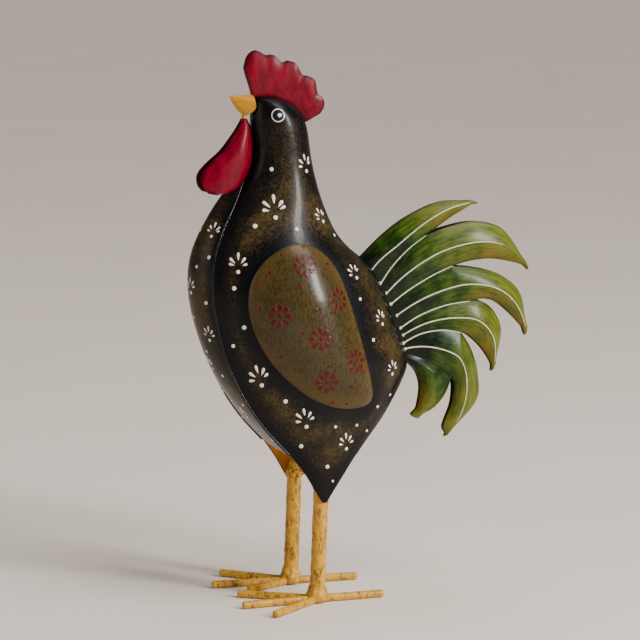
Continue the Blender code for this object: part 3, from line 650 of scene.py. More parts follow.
def yellow_paint(name, light, dark, streak, bump_mm, rubbing):
    """Matt yellow with brown dry-brushed into its hollows and over it in streaks."""
    mat, tree, shader = new_material(name, 0.42, 0.08, 0.25, 0.3)
    coords = tree.nodes.new("ShaderNodeTexCoord")
    drawn = node(tree, "ShaderNodeMapping", Scale=(420.0, 420.0, 130.0))
    tree.links.new(coords.outputs["Object"], drawn.inputs["Vector"])
    scratches = noise_of(tree, 1.0, 5, 0.75, drawn.outputs["Vector"], 1.2)
    broad = noise_of(tree, 110, 3, 0.6)
    pits = noise_of(tree, 620, 5, 0.7)
    grain = noise_of(tree, 1500, 3, 0.6)
    base = mix(tree, remap(tree, grain, 0.35, 0.65), light, dark)
    scratched = remap(tree, scratches, 0.47, 0.60)
    rubbed = maths(tree, "MULTIPLY", scratched, remap(tree, broad, 0.36, 0.58, 0.15, 1.0))
    spotted = maths(tree, "MAXIMUM", rubbed, maths(tree, "MULTIPLY", remap(tree, pits, 0.56, 0.66), 0.6))
    set_colour(tree, shader, mix(tree, maths(tree, "MULTIPLY", spotted, rubbing), base, streak))
    set_roughness(tree, shader, pits, 0.34, 0.55)
    lumps = ((broad, bump_mm * 3, 0.5), (scratches, bump_mm, 0.6))
    bumped(tree, shader, (*lumps, (pits, bump_mm, 0.7), (grain, bump_mm * 0.3, 0.4)))
    return mat


def tail_paint():
    """Green brushed along each feather, almost black at the root, olive further out, rust on lower edges."""
    mat, tree, shader = new_material("brushed_green", 0.30, 0.08, 0.16, 0.14)
    along = attribute(tree, "along")
    across = attribute(tree, "across")
    flow = tree.nodes.new("ShaderNodeCombineXYZ")
    tree.links.new(maths(tree, "MULTIPLY", along, 0.035), flow.inputs["X"])
    tree.links.new(maths(tree, "MULTIPLY", across, 2.6), flow.inputs["Y"])
    tree.links.new(attribute(tree, "feather"), flow.inputs["Z"])
    streaks = noise_of(tree, 2.4, 5, 0.65, flow.outputs["Vector"])
    patchy = noise_of(tree, 75, 4, 0.6)
    fine = noise_of(tree, 1200, 3, 0.6)
    wobble = maths(tree, "ADD", along, remap(tree, patchy, 0.3, 0.7, -12.0, 12.0))
    green = mix(tree, remap(tree, streaks, 0.35, 0.65), (0.009, 0.034, 0.0028), (0.034, 0.074, 0.0058))
    olive = mix(tree, remap(tree, streaks, 0.35, 0.65), (0.062, 0.085, 0.0080), (0.128, 0.136, 0.0145))
    body = mix(tree, remap(tree, wobble, 26.0, 82.0), green, olive)
    lower = maths(tree, "MULTIPLY", remap(tree, across, -0.1, 0.95), remap(tree, along, 34.0, 80.0))
    rust = maths(tree, "MULTIPLY", lower, remap(tree, patchy, 0.35, 0.62))
    toned = mix(tree, maths(tree, "MULTIPLY", rust, 0.75), body, (0.200, 0.096, 0.013))
    rooted = mix(tree, remap(tree, wobble, 10.0, 48.0), (0.0010, 0.0048, 0.0009), toned)
    rim = remap(tree, maths(tree, "ABSOLUTE", across), 0.90, 1.0)
    set_colour(tree, shader, mix(tree, maths(tree, "MULTIPLY", rim, 0.7), rooted, (0.016, 0.020, 0.006)))
    set_roughness(tree, shader, streaks, 0.22, 0.38)
    bumped(tree, shader, ((streaks, 0.25, 0.35), (patchy, 0.6, 0.2), (fine, 0.02, 0.3)))
    return mat


def dark_inside():
    """The dark coat inside the tail and the wings."""
    mat, tree, shader = new_material("dark_inside_of_tail", 0.6)
    patchy = noise_of(tree, 200, 4, 0.6)
    varied = mix(tree, remap(tree, patchy, 0.35, 0.65), (0.006, 0.008, 0.006), (0.016, 0.018, 0.012))
    set_colour(tree, shader, varied)
    bumped(tree, shader, ((patchy, 0.2, 0.4),))
    return mat


def dab_paint(name, light, dark, roughness=0.4):
    """Thick paint laid on with a brush tip."""
    mat, tree, shader = new_material(name, roughness, 0.08, 0.25, 0.2)
    fine = noise_of(tree, 900, 4, 0.6)
    soft = noise_of(tree, 260, 3, 0.6)
    set_colour(tree, shader, mix(tree, remap(tree, soft, 0.35, 0.65), light, dark))
    set_roughness(tree, shader, fine, roughness - 0.06, roughness + 0.1)
    bumped(tree, shader, ((soft, 0.12, 0.4), (fine, 0.03, 0.4)))
    return mat


def floor_material():
    """A plain pale floor."""
    mat, tree, shader = new_material("pale_floor", 0.75)
    soft = noise_of(tree, 6, 4, 0.5)
    set_colour(tree, shader, mix(tree, remap(tree, soft, 0.3, 0.7), (0.76, 0.665, 0.59), (0.78, 0.685, 0.61)))
    return mat


# ---------------------------------------------------------------- body

def rails():
    """Front y z x, rear y z x and half-width of every fine row."""
    flat = [(*front, *rear, wide) for front, rear, wide in STATIONS]
    line = smooth_line(flat, FINE)
    return np.concatenate([line[:4], relaxed(line[3:], 6)[1:]])


def side_surface(line):
    """One body side, left: rows of elliptical arcs from the front rail to the rear rail."""
    grid = np.zeros((len(line), ACROSS + 1, 3))
    for i, (fy, fz, fx, ry, rz, rx, wide) in enumerate(line):
        fx = max(fx, 0.0)
        rx = max(rx, 0.0)
        wide = max(wide, fx + 0.02, rx + 0.02)
        start = math.asin(fx / wide)
        end = math.pi - math.asin(rx / wide)
        angle = np.linspace(start, end, ACROSS + 1)
        f = (math.cos(start) - np.cos(angle)) / (math.cos(start) - math.cos(end))
        grid[i] = np.stack([wide * np.sin(angle), fy + (ry - fy) * f, fz + (rz - fz) * f], -1)
    return grid


def strip_surface(line, stations, bulges, rear):
    """The strip between the left and right rails at the front or at the rear."""
    first, last = int(stations[0] * FINE), int(stations[1] * FINE)
    rows = line[first:last + 1]
    bulge = np.interp(np.linspace(0, len(bulges) - 1, len(rows)), np.arange(len(bulges)), bulges)
    bulge = relaxed(bulge[:, None], 5)[:, 0]
    t = np.linspace(-1, 1, STRIP_POINTS)
    crown = 1 - t * t
    grid = np.zeros((len(rows), len(t), 3))
    for i, (fy, fz, fx, ry, rz, rx, _) in enumerate(rows):
        if rear:
            out = bulge[i] * crown
            grid[i] = np.stack([-t * rx, ry + RUMP_OUT[0] * out, rz + RUMP_OUT[1] * out], -1)
        else:
            grid[i] = np.stack([t * fx, fy - bulge[i] * crown, np.full_like(t, fz)], -1)
    return grid


def nearest(points, targets):
    """Distance from each point to the nearest target."""
    flat = points.reshape(-1, 3)
    targets = np.asarray(targets)
    out = np.full(len(flat), 1e9)
    for start in range(0, len(targets), 64):
        part = targets[start:start + 64]
        d = np.sqrt(((flat[:, None, :] - part[None]) ** 2).sum(-1)).min(1)
        out = np.minimum(out, d)
    return out.reshape(points.shape[:-1])


def tree_of(grid):
    """A search tree over a grid of points, in millimetres."""
    rows, cols = grid.shape[:2]
    faces = [
        (i * cols + j, i * cols + j + 1, (i + 1) * cols + j + 1, (i + 1) * cols + j)
        for i in range(rows - 1)
        for j in range(cols - 1)
    ]
    return BVHTree.FromPolygons([Vector(p) for p in grid.reshape(-1, 3)], faces)


def side_hit(tree, y, z):
    """The point and normal of a left-hand surface beside (y, z)."""
    point, normal, _, _ = tree.ray_cast(Vector((200, y, z)), Vector((-1, 0, 0)))
    return point, normal


def wavy(grid, normals, amount, scale):
    """Slight unevenness, as hand-beaten sheet has."""
    out = grid.copy()
    for i in range(grid.shape[0]):
        for j in range(grid.shape[1]):
            out[i, j] += normals[i, j] * amount * noise.noise(Vector(grid[i, j]) / scale)
    return out


def two_faced(faces, outer_count):
    """Material index 1 on faces of the sheet's inner side."""
    return [1 if min(f) >= outer_count else 0 for f in faces]


def ring_faces(rings, around):
    """Quads between closed rings of points, with a cap on the first ring and on the last."""
    faces = []
    for i in range(rings - 1):
        for j in range(around):
            k = (j + 1) % around
            faces.append((i * around + j, i * around + k, (i + 1) * around + k, (i + 1) * around + j))
    faces.append(tuple(range(around))[::-1])
    faces.append(tuple((rings - 1) * around + j for j in range(around)))
    return faces


def doubled(values, inner=1.0):
    """A point value for a sheet's outer grid and, times inner, for its inner grid."""
    return np.concatenate([values.ravel(), values.ravel() * inner])


def side_border(beaten, side, tree):
    """Distance from each point of a body side to where its paint turns black: rails, wing, crown."""
    wing_rim = []
    for y, z in closed_line(WING, 4):
        point, _ = side_hit(tree, y, z)
        wing_rim.append(tuple(point))
    border = np.minimum(nearest(beaten, side[::2, 0]), nearest(beaten, side[::2, -1]))
    border = np.minimum(border, nearest(beaten, wing_rim))
    neck = np.clip((beaten[..., 2] - NECK_FROM) / NECK_OVER, 0, 1)
    return np.minimum(border * (1 - 0.5 * neck), np.maximum(BLACK_ABOVE - beaten[..., 2], 0.0))


def build_body(paint, inside, seam):
    """Both body sides and the two strips. Returns search trees over the left side and the breast strip."""
    line = rails()
    side = side_surface(line)
    normals = grid_normals(side)
    beaten = wavy(side, normals, *SIDE_WAVES)
    beaten[:, 0] = side[:, 0]
    beaten[:, -1] = side[:, -1]
    beaten[..., 0] = np.maximum(beaten[..., 0], 0.0)
    inner = beaten - normals * SHEET
    inner[..., 0] = np.maximum(inner[..., 0], 0.05)
    tree = tree_of(beaten)
    border = side_border(beaten, side, tree)
    for name, sign in SIDES:
        verts, faces = shell_data(beaten, inner)
        slots = two_faced(faces, beaten.shape[0] * beaten.shape[1])
        verts, faces = mirrored(verts, faces, sign)
        piece = mesh_object(
            f"body_side_{name}", verts, faces, (paint, inside), {"border": doubled(border)}, "body_paint",
            (f"body_side_{name}",), faces_slot=slots)
        soften_rims(piece, 0.25)

    breast = strip_surface(line, BREAST_STATIONS, BREAST_BULGE, False)
    rump = strip_surface(line, RUMP_STATIONS, RUMP_BULGE, True)
    for name, grid in (("breast_gusset", breast), ("rump_gusset", rump)):
        normals = grid_normals(grid)
        face = wavy(grid, normals, *STRIP_WAVES)
        face[:, 0] = grid[:, 0]
        face[:, -1] = grid[:, -1]
        # On the strips the brown reaches wider and nearer the rails than on the sides: partly the brown
        # sponging they have, partly a painted reflection of the pale room, which the strips catch at a
        # grazing angle.
        border = 3.0 + 1.8 * np.minimum(nearest(face, grid[:, 0]), nearest(face, grid[:, -1]))
        verts, faces = shell_data(face, face - normals * SHEET)
        piece = mesh_object(
            name, verts, faces, (paint, inside), {"border": doubled(border)}, "body_paint",
            (name,), faces_slot=two_faced(faces, face.shape[0] * face.shape[1]))
        soften_rims(piece, 0.25)
    build_seams(line, seam)
    return tree, tree_of(breast)


def tube(path, radius, sides=10):
    """A closed round tube along a path; radius is a number or one per point."""
    path = np.asarray(path, float)
    tangent = np.gradient(path, axis=0)
    tangent /= np.linalg.norm(tangent, axis=1, keepdims=True)
    verts = []
    for p, t, r in zip(path, tangent, np.broadcast_to(radius, len(path))):
        a = np.cross(t, (1.0, 0.0, 0.0))
        a /= np.linalg.norm(a)
        b = np.cross(a, t)
        for j in range(sides):
            w = 2 * math.pi * j / sides
            verts.append(p + a * r * math.cos(w) + b * r * math.sin(w))
    return np.array(verts), ring_faces(len(path), sides)


def build_seams(line, paint):
    """The ground weld along each fold between a body side and its strips, with a few beads near its top."""
    first, last = BREAST_STATIONS[0] * FINE, BREAST_STATIONS[1] * FINE
    front = line[first:last + 1, [2, 0, 1]] + np.array([0.05, -0.05, 0.0])
    first, last = int(RUMP_STATIONS[0] * FINE), int(RUMP_STATIONS[1] * FINE)
    rear = line[first:last + 1, [5, 3, 4]] + np.array([-0.25, -0.2, 0.2])
    parts = [tube(front, 0.85, 16), tube(rear, 0.55)]
    for k, step in enumerate(SEAM_BEADS):
        x, y, z = line[step, [2, 0, 1]]
        parts.append(bead((x + 0.3, y + 0.1, z), 1.5 - 0.12 * k, 7 + k))
    for name, sign in SIDES:
        verts, faces = mirrored(*joined(parts), sign)
        mesh_object(f"breast_seam_{name}", verts, faces, (paint,), None, "body_paint", sharp=80)


def bead(centre, radius, seed):
    """A small uneven lump of weld or paint."""
    bm = bmesh.new()
    bmesh.ops.create_icosphere(bm, subdivisions=3, radius=radius)
    for v in bm.verts:
        v.co += v.co.normalized() * radius * 0.25 * noise.noise(v.co / radius * 1.6 + Vector((seed, 0, 0)))
    verts = np.array([tuple(v.co) for v in bm.verts]) + np.array(centre)
    faces = [tuple(v.index for v in f.verts) for f in bm.faces]
    bm.free()
    return verts, faces


# ---------------------------------------------------------------- head

def paired_shells(label, outer, inner, paint):
    """A crimson shell on each side, dark at its rim and on its inner face: a painted outline on the free
    edges, painted shade at the base where it meets the head and on the inner face.
    """
    border = nearest(outer, np.concatenate([outer[0], outer[-1], outer[:, 0], outer[:, -1]]))
    for name, sign in SIDES:
        verts, faces = mirrored(*shell_data(outer, inner), sign)
        piece = mesh_object(
            f"{label}_{name}", verts, faces, (paint,), {"border": doubled(border, 0.0)}, "comb_paint",
            (f"{label}_{name}",), sharp=50)
        soften_rims(piece, 0.2, 60)


def build_comb(paint):
    """Two shallow halves whose domes sink between the lobes."""
    base = smooth_line([b for b, _ in COMB], COMB_FINE)
    edge = smooth_line([e for _, e in COMB], COMB_FINE)
    cols = len(base)
    v = np.linspace(0, 1, COMB_ROWS)
    rise = np.interp(v, np.linspace(0, 1, len(COMB_RISE)), COMB_RISE)
    rise = relaxed(rise[:, None], 3)[:, 0]
    column = np.arange(cols) / COMB_FINE
    notch = sum(np.exp(-((column - k) / COMB_FLUTE_WIDTH) ** 2) for k in COMB_NOTCHES)
    ends = np.clip(np.minimum(column, column[-1] - column) / 1.5, 0, 1) ** 0.5
    outer = np.zeros((COMB_ROWS, cols, 3))
    for i in range(COMB_ROWS):
        lift = rise[i] * ends * (1 - COMB_FLUTE * notch * v[i])
        yz = base + (edge - base) * v[i]
        outer[i] = np.stack([COMB_AIR + COMB_LIFT * lift, yz[:, 0], yz[:, 1]], -1)
    outer = wavy(outer, grid_normals(outer), *COMB_WAVES)
    inner = outer - np.array([THIN_SHEET, 0, 0])
    inner[..., 0] = np.maximum(inner[..., 0], 0.08)
    paired_shells("comb", outer, inner, paint)


def build_wattles(paint, tab_paint):
    """Two teardrop shells, and the tab of paint and metal that they hang from."""
    front = smooth_line([f for f, _ in WATTLE], 6)
    rear = smooth_line([r for _, r in WATTLE], 6)
    rows = len(front)
    down = np.linspace(0, 1, rows)
    t = np.linspace(0, 1, 29)
    outer = np.zeros((rows, len(t), 3))
    for i in range(rows):
        height = math.sin(math.pi * min(down[i], WATTLE_LOWEST)) ** 0.7
        dome = WATTLE_DOME * np.sin(math.pi * t) ** 0.8 * height
        yz = front[i] + (rear[i] - front[i]) * t[:, None]
        x = WATTLE_X[0] + (WATTLE_X[1] - WATTLE_X[0]) * down[i] ** WATTLE_SPREAD
        outer[i] = np.stack([x + dome, yz[:, 0], yz[:, 1]], -1)
    outer = outer[::-1]
    paired_shells("wattle", outer, outer - grid_normals(outer) * MIDDLE_SHEET, paint)
    steps = 12
    verts, faces = tube(np.linspace(*TAB_PATH, steps), np.linspace(*TAB_RADII, steps), 14)
    verts = verts + np.array([[0.18 * noise.noise(Vector(v) / 1.2), 0.0, 0.0] for v in verts])
    mesh_object("wattle_tab", verts, faces, (tab_paint,), None, "beak_paint", ("wattle_tab",), sharp=80)


def build_beak(paint):
    """A cone folded round the front of the head, open behind."""
    outer = np.zeros((BEAK_RINGS, BEAK_AROUND, 3))
    tip = np.array(BEAK_TIP)
    for i in range(BEAK_RINGS):
        f = (i / (BEAK_RINGS - 0.4)) ** 0.9
        for j in range(BEAK_AROUND):
            a = 2 * math.pi * j / BEAK_AROUND
            up = math.cos(a)
            lap = BEAK_LAP[0] if up > 0 else BEAK_LAP[1]
            y = BEAK_MIDDLE[0] - lap * up * up
            rim = np.array([BEAK_HALF_WIDTH * math.sin(a), y, BEAK_MIDDLE[1] + BEAK_HALF_HEIGHT * up])
            chin = -BEAK_CHIN * math.sin(math.pi * f) * max(0.0, -up)
            outer[i, j] = rim + (tip - rim) * f
            outer[i, j] += (0.0, chin, chin)
    outer = outer[:, ::-1]
    inner = outer - grid_normals(outer, True) * BEAK_SHEET
    inner[-1] = outer[-1] + (outer[0].mean(0) - outer[-1]) * 0.06
    verts, faces = shell_data(outer, inner, wrap=True, pole=True)
    piece = mesh_object("beak", verts, faces, (paint,), None, "beak_paint", ("beak",), sharp=50)
    soften_rims(piece, 0.25, 60)


# ---------------------------------------------------------------- wings

def build_wings(paint, inside, tree):
    """A domed shell on each side, its rim following the body. Returns a search tree over the left one."""
    rim = closed_line(WING, 6)
    outer = np.zeros((WING_RINGS, len(rim), 3))
    scales = np.cos(math.pi / 2 * np.arange(WING_RINGS) / (WING_RINGS - 0.2))
    for i, scale in enumerate(scales):
        for j, (y0, z0) in enumerate(rim):
            y = WING_CENTRE[0] + (y0 - WING_CENTRE[0]) * scale
            z = WING_CENTRE[1] + (z0 - WING_CENTRE[1]) * scale
            point, _ = side_hit(tree, y, z)
            proud = max(0.0, (z - WING_LIFT_FROM) / WING_LIFT_OVER) ** 2 * WING_LIFT
            rise = WING_DOME * (1 - scale ** WING_FLATTEN) ** WING_ROUND
            outer[i, j] = (point.x + SHEET + WING_AIR + proud + rise, y, z)
    if grid_normals(outer, True)[WING_RINGS // 2, 0, 0] < 0:
        outer = outer[:, ::-1]
    inner = outer - grid_normals(outer, True) * MIDDLE_SHEET
    border = nearest(outer, outer[0])
    for name, sign in SIDES:
        verts, faces = shell_data(outer, inner, wrap=True, pole=True)
        slots = two_faced(faces, outer.shape[0] * outer.shape[1])
        verts, faces = mirrored(verts, faces, sign)
        piece = mesh_object(
            f"wing_{name}", verts, faces, (paint, inside), {"border": doubled(border)}, "wing_paint",
            (f"wing_{name}",), faces_slot=slots, sharp=50)
        soften_rims(piece, 0.3, 60)
    return tree_of(np.concatenate([outer, outer[:, :1]], axis=1))


# ---------------------------------------------------------------- tail

def feather_line(points, per=8):
    """A feather's line in two smooth stretches, the first of which its neighbour shares."""
    beyond = smooth_line(points[3:], per)
    tip = [beyond[-2] + (beyond[-1] - beyond[-2]) * f for f in TIP_STEPS]
    return np.concatenate([smooth_line(points[:4], per), beyond[1:-1], tip])


def arched(root, notch, arc):
    """The four points of a shared line, which rises above its chord."""
    chord = notch - root
    upward = np.array([-chord[1], chord[0]]) / np.linalg.norm(chord)
    return [root + chord * f + upward * arc * 4 * f * (1 - f) for f in (0.0, 0.35, 0.7, 1.0)]


def feathers():
    """Per feather: a grid of points from root to tip and from upper edge to lower edge."""
    shared = [arched(np.array(r), np.array(n), arc) for r, n, arc in zip(TAIL_ROOTS, TAIL_NOTCHES, TAIL_ARCS)]
    notched = relaxed(feather_line([(x,) for x in TAIL_EDGE_X]), 4)[:, 0]
    free = relaxed(feather_line([(x,) for x in TAIL_FREE_X]), 4)[:, 0]
    ridge = relaxed(feather_line([(x,) for x in TAIL_RIDGE_X]), 4)[:, 0]
    t = np.linspace(-1, 1, FEATHER_POINTS)
    out = []
    for k, (upper, tip, lower) in enumerate(TAIL_FEATHERS):
        top = feather_line([*shared[k], *map(np.array, upper), np.array(tip)])
        bottom = feather_line([*shared[k + 1], *map(np.array, lower[::-1]), np.array(tip)])
        middle = relaxed((top + bottom) / 2, 16)
        left = np.linalg.norm(middle - middle[-1], axis=1)
        high = free if k == 0 else notched
        low = free if k == len(TAIL_FEATHERS) - 1 else notched
        grid = np.zeros((len(top), len(t), 3))
        for i in range(len(top)):
            half = (bottom[i] - top[i]) / 2
            width = np.linalg.norm(half)
            way = half / width if width > 0.05 else way
            blunt = math.sqrt(max(0.0, TIP_RADIUS ** 2 - max(0.0, TIP_RADIUS - left[i]) ** 2))
            half = way * max(width, blunt)
            bend = (top[i] + bottom[i]) / 2 - middle[i]
            yz = middle[i] + half * t[:, None] + bend * (t ** 2)[:, None]
            edge = np.where(t < 0, high[i], low[i])
            x = edge + (ridge[i] - edge) * (1 - np.abs(t) ** 1.5) ** 0.85
            grid[i] = np.stack([x, yz[:, 0], yz[:, 1]], -1)
        grid[-1] = 0.75 * grid[-1] + 0.25 * grid[-2]
        out.append(grid)
    return out


def build_tail_lines(grids, paint):
    """A raised cream line along each midrib and each valley, with a dot at its start."""
    middle = FEATHER_POINTS // 2
    strokes = []
    for k, reach in enumerate(MIDRIB_REACH):
        midrib = grids[k][LINE_START:, middle]
        strokes.append(midrib[:int(len(midrib) * reach)])
        if k < len(MIDRIB_REACH) - 1:
            strokes.append(grids[k + 1][LINE_START:VALLEY_END, 0])
    lines = []
    for k, path in enumerate(strokes):
        path = path + np.array([0.1, 0, 0])
        radius = LINE_RADIUS - LINE_TAPER * np.linspace(0, 1, len(path)) ** 1.4
        radius[-3:] *= (0.85, 0.6, 0.3)
        lines.append(tube(path, radius, 8))
        lines.append(bead(path[0] + np.array([0.2, -0.8, -0.4]), 1.1 if k % 2 else 1.0, k))
    for name, sign in SIDES:
        verts, faces = mirrored(*joined(lines), sign)
        mesh_object(f"tail_lines_{name}", verts, faces, (paint,), None, "tail_paint", sharp=80)


def build_tail(paint, inside, line_paint):
    """Six curved feathers in one pressed half per side."""
    grids = feathers()
    parts = []
    attributes = {"along": [], "across": [], "feather": []}
    slots = []
    middle = FEATHER_POINTS // 2
    t = np.linspace(-1, 1, FEATHER_POINTS)
    for k, grid in enumerate(grids):
        turned = grid[:, ::-1].transpose(1, 0, 2)
        across = t[::-1]
        if grid_normals(turned)[middle, 20, 0] < 0:
            turned = grid.transpose(1, 0, 2)
            across = t
        inner = turned - grid_normals(turned) * THIN_SHEET
        inner[..., 0] = np.maximum(inner[..., 0], 0.3)
        verts, faces = shell_data(turned, inner)
        steps = np.linalg.norm(np.diff(grid[:, middle], axis=0), axis=1)
        along = np.concatenate([[0], np.cumsum(steps)])
        along = along * (COMMON_FEATHER / along[-1]) ** 0.7
        for _ in range(2):
            attributes["along"].append(np.broadcast_to(along[None, :], turned.shape[:2]).ravel())
            attributes["across"].append(np.broadcast_to(across[:, None], turned.shape[:2]).ravel())
            attributes["feather"].append(np.full(turned.shape[0] * turned.shape[1], 3.7 * k))
        slots += two_faced(faces, turned.shape[0] * turned.shape[1])
        parts.append((verts, faces))
    merged = {key: np.concatenate(values) for key, values in attributes.items()}
    for name, sign in SIDES:
        verts, faces = mirrored(*joined(parts), sign)
        piece = mesh_object(
            f"tail_{name}", verts, faces, (paint, inside), merged, "tail_paint", (f"tail_{name}",),
            faces_slot=slots, sharp=50)
        soften_rims(piece, 0.2, 60)

    build_tail_lines(grids, line_paint)


# ---------------------------------------------------------------- paint dabs

def laid(tree, origin, right, up, normal, flat, rings):
    """A dab of paint on a surface: flat is its outline along right and up, rings are (scale, height)."""
    centre = flat.mean(0)
    verts = []
    for scale, height in rings:
        for a, b in centre + (flat - centre) * scale:
            level = origin + right * float(a) + up * float(b)
            point, n, _, _ = tree.ray_cast(level + normal * DAB_ABOVE, -normal, DAB_REACH)
            if point is None:
                point, n = level, normal
            verts.append(point + n * height)
    return np.array([tuple(v) for v in verts]), ring_faces(len(rings), len(flat))


def basis(normal):
    """The directions right and up in a surface, seen from outside."""
    up = Vector((0.0, 0.0, 1.0))
    up = (up - normal * up.dot(normal)).normalized()
    right = up.cross(normal)
    return right, up


def circle(radius, count=14):
    a = np.arange(count) * 2 * math.pi / count
    return np.stack([radius * np.cos(a), radius * np.sin(a)], -1)


def petal(length, width, inner, angle, count=16):
    """A teardrop from its point at radius inner to its round end, turned by angle from up, in degrees."""
    a = np.arange(count) * 2 * math.pi / count
    s = (1 - np.cos(a)) / 2
    half = width / 2 * 1.3 * np.sin(a) * (s * 0.75 + 0.25) ** 0.9
    along = inner + length * s ** 0.9
    c, d = math.cos(math.radians(angle)), math.sin(math.radians(angle))
    return np.stack([half * c + along * d, -half * d + along * c], -1)[::-1]


def fan(tree, origin, normal, lean, height, seed):
    """Five teardrops spreading above a dot."""
    right, up = basis(normal)
    tilt = math.radians(lean)
    up, right = up * math.cos(tilt) + right * math.sin(tilt), right * math.cos(tilt) - up * math.sin(tilt)
    k = height / FAN_HEIGHT
    out = [laid(tree, origin, right, up, normal, circle(FAN_DOT * k ** 0.5), DAB)]
    for n, (angle, inner, length) in enumerate(FAN_PETALS):
        wobble = 1 + 0.2 * noise.noise(Vector((seed, n * 1.7, 0.3)))
        turn = angle + 7 * noise.noise(Vector((seed, n, 4.4)))
        shape = petal(length * k * wobble, FAN_PETAL_WIDTH * k, inner * k, turn)
        shape = shape + np.array([0.0, FAN_RISE * k])
        out.append(laid(tree, origin, right, up, normal, shape, DAB))
    return out


def front_hit(tree, x, z):
    point, normal, _, _ = tree.ray_cast(Vector((x, -300, z)), Vector((0, 1, 0)))
    return point, normal


def facing(normal, axis, sign):
    """The normal turned to point outward along an axis."""
    return normal if normal[axis] * sign > 0 else -normal


def flower(tree, origin, normal, seed):
    right, up = basis(normal)
    out = [laid(tree, origin, right, up, normal, circle(FLOWER_DOT), FLAT_DAB)]
    for n in range(FLOWER_PETALS):
        angle = 360 / FLOWER_PETALS * n + 6 * noise.noise(Vector((seed, n, 1.1)))
        shape = petal(4.6, 3.7, 2.8, angle)
        out.append(laid(tree, origin, right, up, normal, shape, FLAT_DAB))
    return out


def side_place(tree, y, z):
    """A point on a left-hand surface and its outward normal."""
    point, normal = side_hit(tree, y, z)
    return point, facing(normal, 0, 1)


def dot(tree, point, normal, radius, section):
    return laid(tree, point, *basis(normal), normal, circle(radius), section)


def body_dabs(tree):
    """White fans and dots on the left side."""
    out = []
    for n, (y, z, lean, height) in enumerate(SIDE_FANS):
        out += fan(tree, *side_place(tree, y, z), lean, height, n)
    for y, z, radius in SIDE_DOTS:
        out.append(dot(tree, *side_place(tree, y, z), radius * SIDE_DOT_SCALE, DAB))
    return out


def wing_dabs(tree):
    """Red flowers and dots on the left wing."""
    out = []
    for n, (y, z) in enumerate(FLOWERS):
        out += flower(tree, *side_place(tree, y, z), n)
    for n, (y, z) in enumerate(RED_DOTS):
        radius = RED_DOT + 0.35 * noise.noise(Vector((n, 0.5, 0)))
        out.append(dot(tree, *side_place(tree, y, z), radius, FLAT_DAB))
    return out


def breast_dabs(tree):
    """White fans and dots on the breast strip."""
    out = []
    for n, (x, z, lean, height) in enumerate(BREAST_FANS):
        point, normal = front_hit(tree, x, z)
        out += fan(tree, point, facing(normal, 1, -1), lean, height, BREAST_SEED + n)
    for x, z, radius in BREAST_DOTS:
        point, normal = front_hit(tree, x, z)
        out.append(dot(tree, point, facing(normal, 1, -1), radius, DAB))
    return out


def build_dabs(body_tree, breast_tree, wing_tree, white, red, black):
    """All the dabs, and on each side an eye of three discs, one on another."""
    groups = [
        ("white_dabs", body_dabs(body_tree), white, "body_paint"),
        ("wing_flowers", wing_dabs(wing_tree), red, "wing_paint"),
    ]
    point, normal = side_place(body_tree, *EYE)
    right, up = basis(normal)
    for label, radius, count, ahead, section in EYE_DISCS:
        disc = laid(body_tree, point + right * ahead, right, up, normal, circle(radius, count), section)
        groups.append((label, [disc], black if label == "eye_pupil" else white, "body_paint"))
    for name, sign in SIDES:
        for label, parts, paint, slot in groups:
            verts, faces = mirrored(*joined(parts), sign)
            mesh_object(f"{label}_{name}", verts, faces, (paint,), None, slot, sharp=70)
    verts, faces = joined(breast_dabs(breast_tree))
    mesh_object("white_dabs_breast", verts, faces, (white,), None, "body_paint", sharp=70)


# ---------------------------------------------------------------- legs and feet

def rough_rod(start, end, radius, seed, lumps, steps, sides, flat_from=1.0):
    """A rod with an uneven, lumpy coat of paint. From a share flat_from of its length on it flattens."""
    start, end = np.array(start, float), np.array(end, float)
    length = np.linalg.norm(end - start)
    axis = (end - start) / length
    guide = np.array([0.0, 0.0, 1.0]) if abs(axis[2]) < 0.8 else np.array([1.0, 0.0, 0.0])
    a = np.cross(axis, guide)
    a /= np.linalg.norm(a)
    b = np.cross(axis, a)
    verts = []
    for i in range(steps + 1):
        s = i / steps
        near_end = min(s, 1 - s) * length
        rounding = math.sqrt(max(0.0, 1 - max(0.0, 1 - near_end / (radius * ROD_END)) ** 2))
        scale = ROD_END_SCALE + (1 - ROD_END_SCALE) * rounding
        squash = 1.0
        if s > flat_from:
            squash = 1 - LEG_FLATTEN * (s - flat_from) / (1 - flat_from)
        p = start + axis * length * s
        for j in range(sides):
            w = 2 * math.pi * j / sides
            surface = Vector(p + (a * math.cos(w) + b * math.sin(w)) * radius)
            coarse = noise.noise(surface / 5.0 + Vector((seed, 0, 0)))
            fine = noise.noise(surface / 1.4 + Vector((0, seed, 0)))
            r = radius * scale + lumps * coarse + lumps * 0.45 * fine
            verts.append(p + (a * math.cos(w) * squash + b * math.sin(w)) * r)
    return np.array(verts), ring_faces(steps + 1, sides)


def leg_piece(name, data, paint, sharp=60):
    """A piece that stands for the CAD node of the same name."""
    mesh_object(name, *data, (paint,), None, "leg_paint", (name,), sharp=sharp)


def thigh_beads(step):
    """Beads of weld round the inner side of the left leg's top, step degrees apart."""
    parts = []
    for k in range(THIGH_BEADS):
        a = math.radians(THIGH_START + step * k)
        x = LEG_X + BEAD_REACH * math.cos(a)
        y = LEG_Y - 0.3 + BEAD_REACH * math.sin(a)
        parts.append(bead((x, y, WELD_Z + 1.2 * math.sin(1.9 * k)), 1.7 + 0.25 * math.sin(2.3 * k), 13 + k))
    return joined(parts)


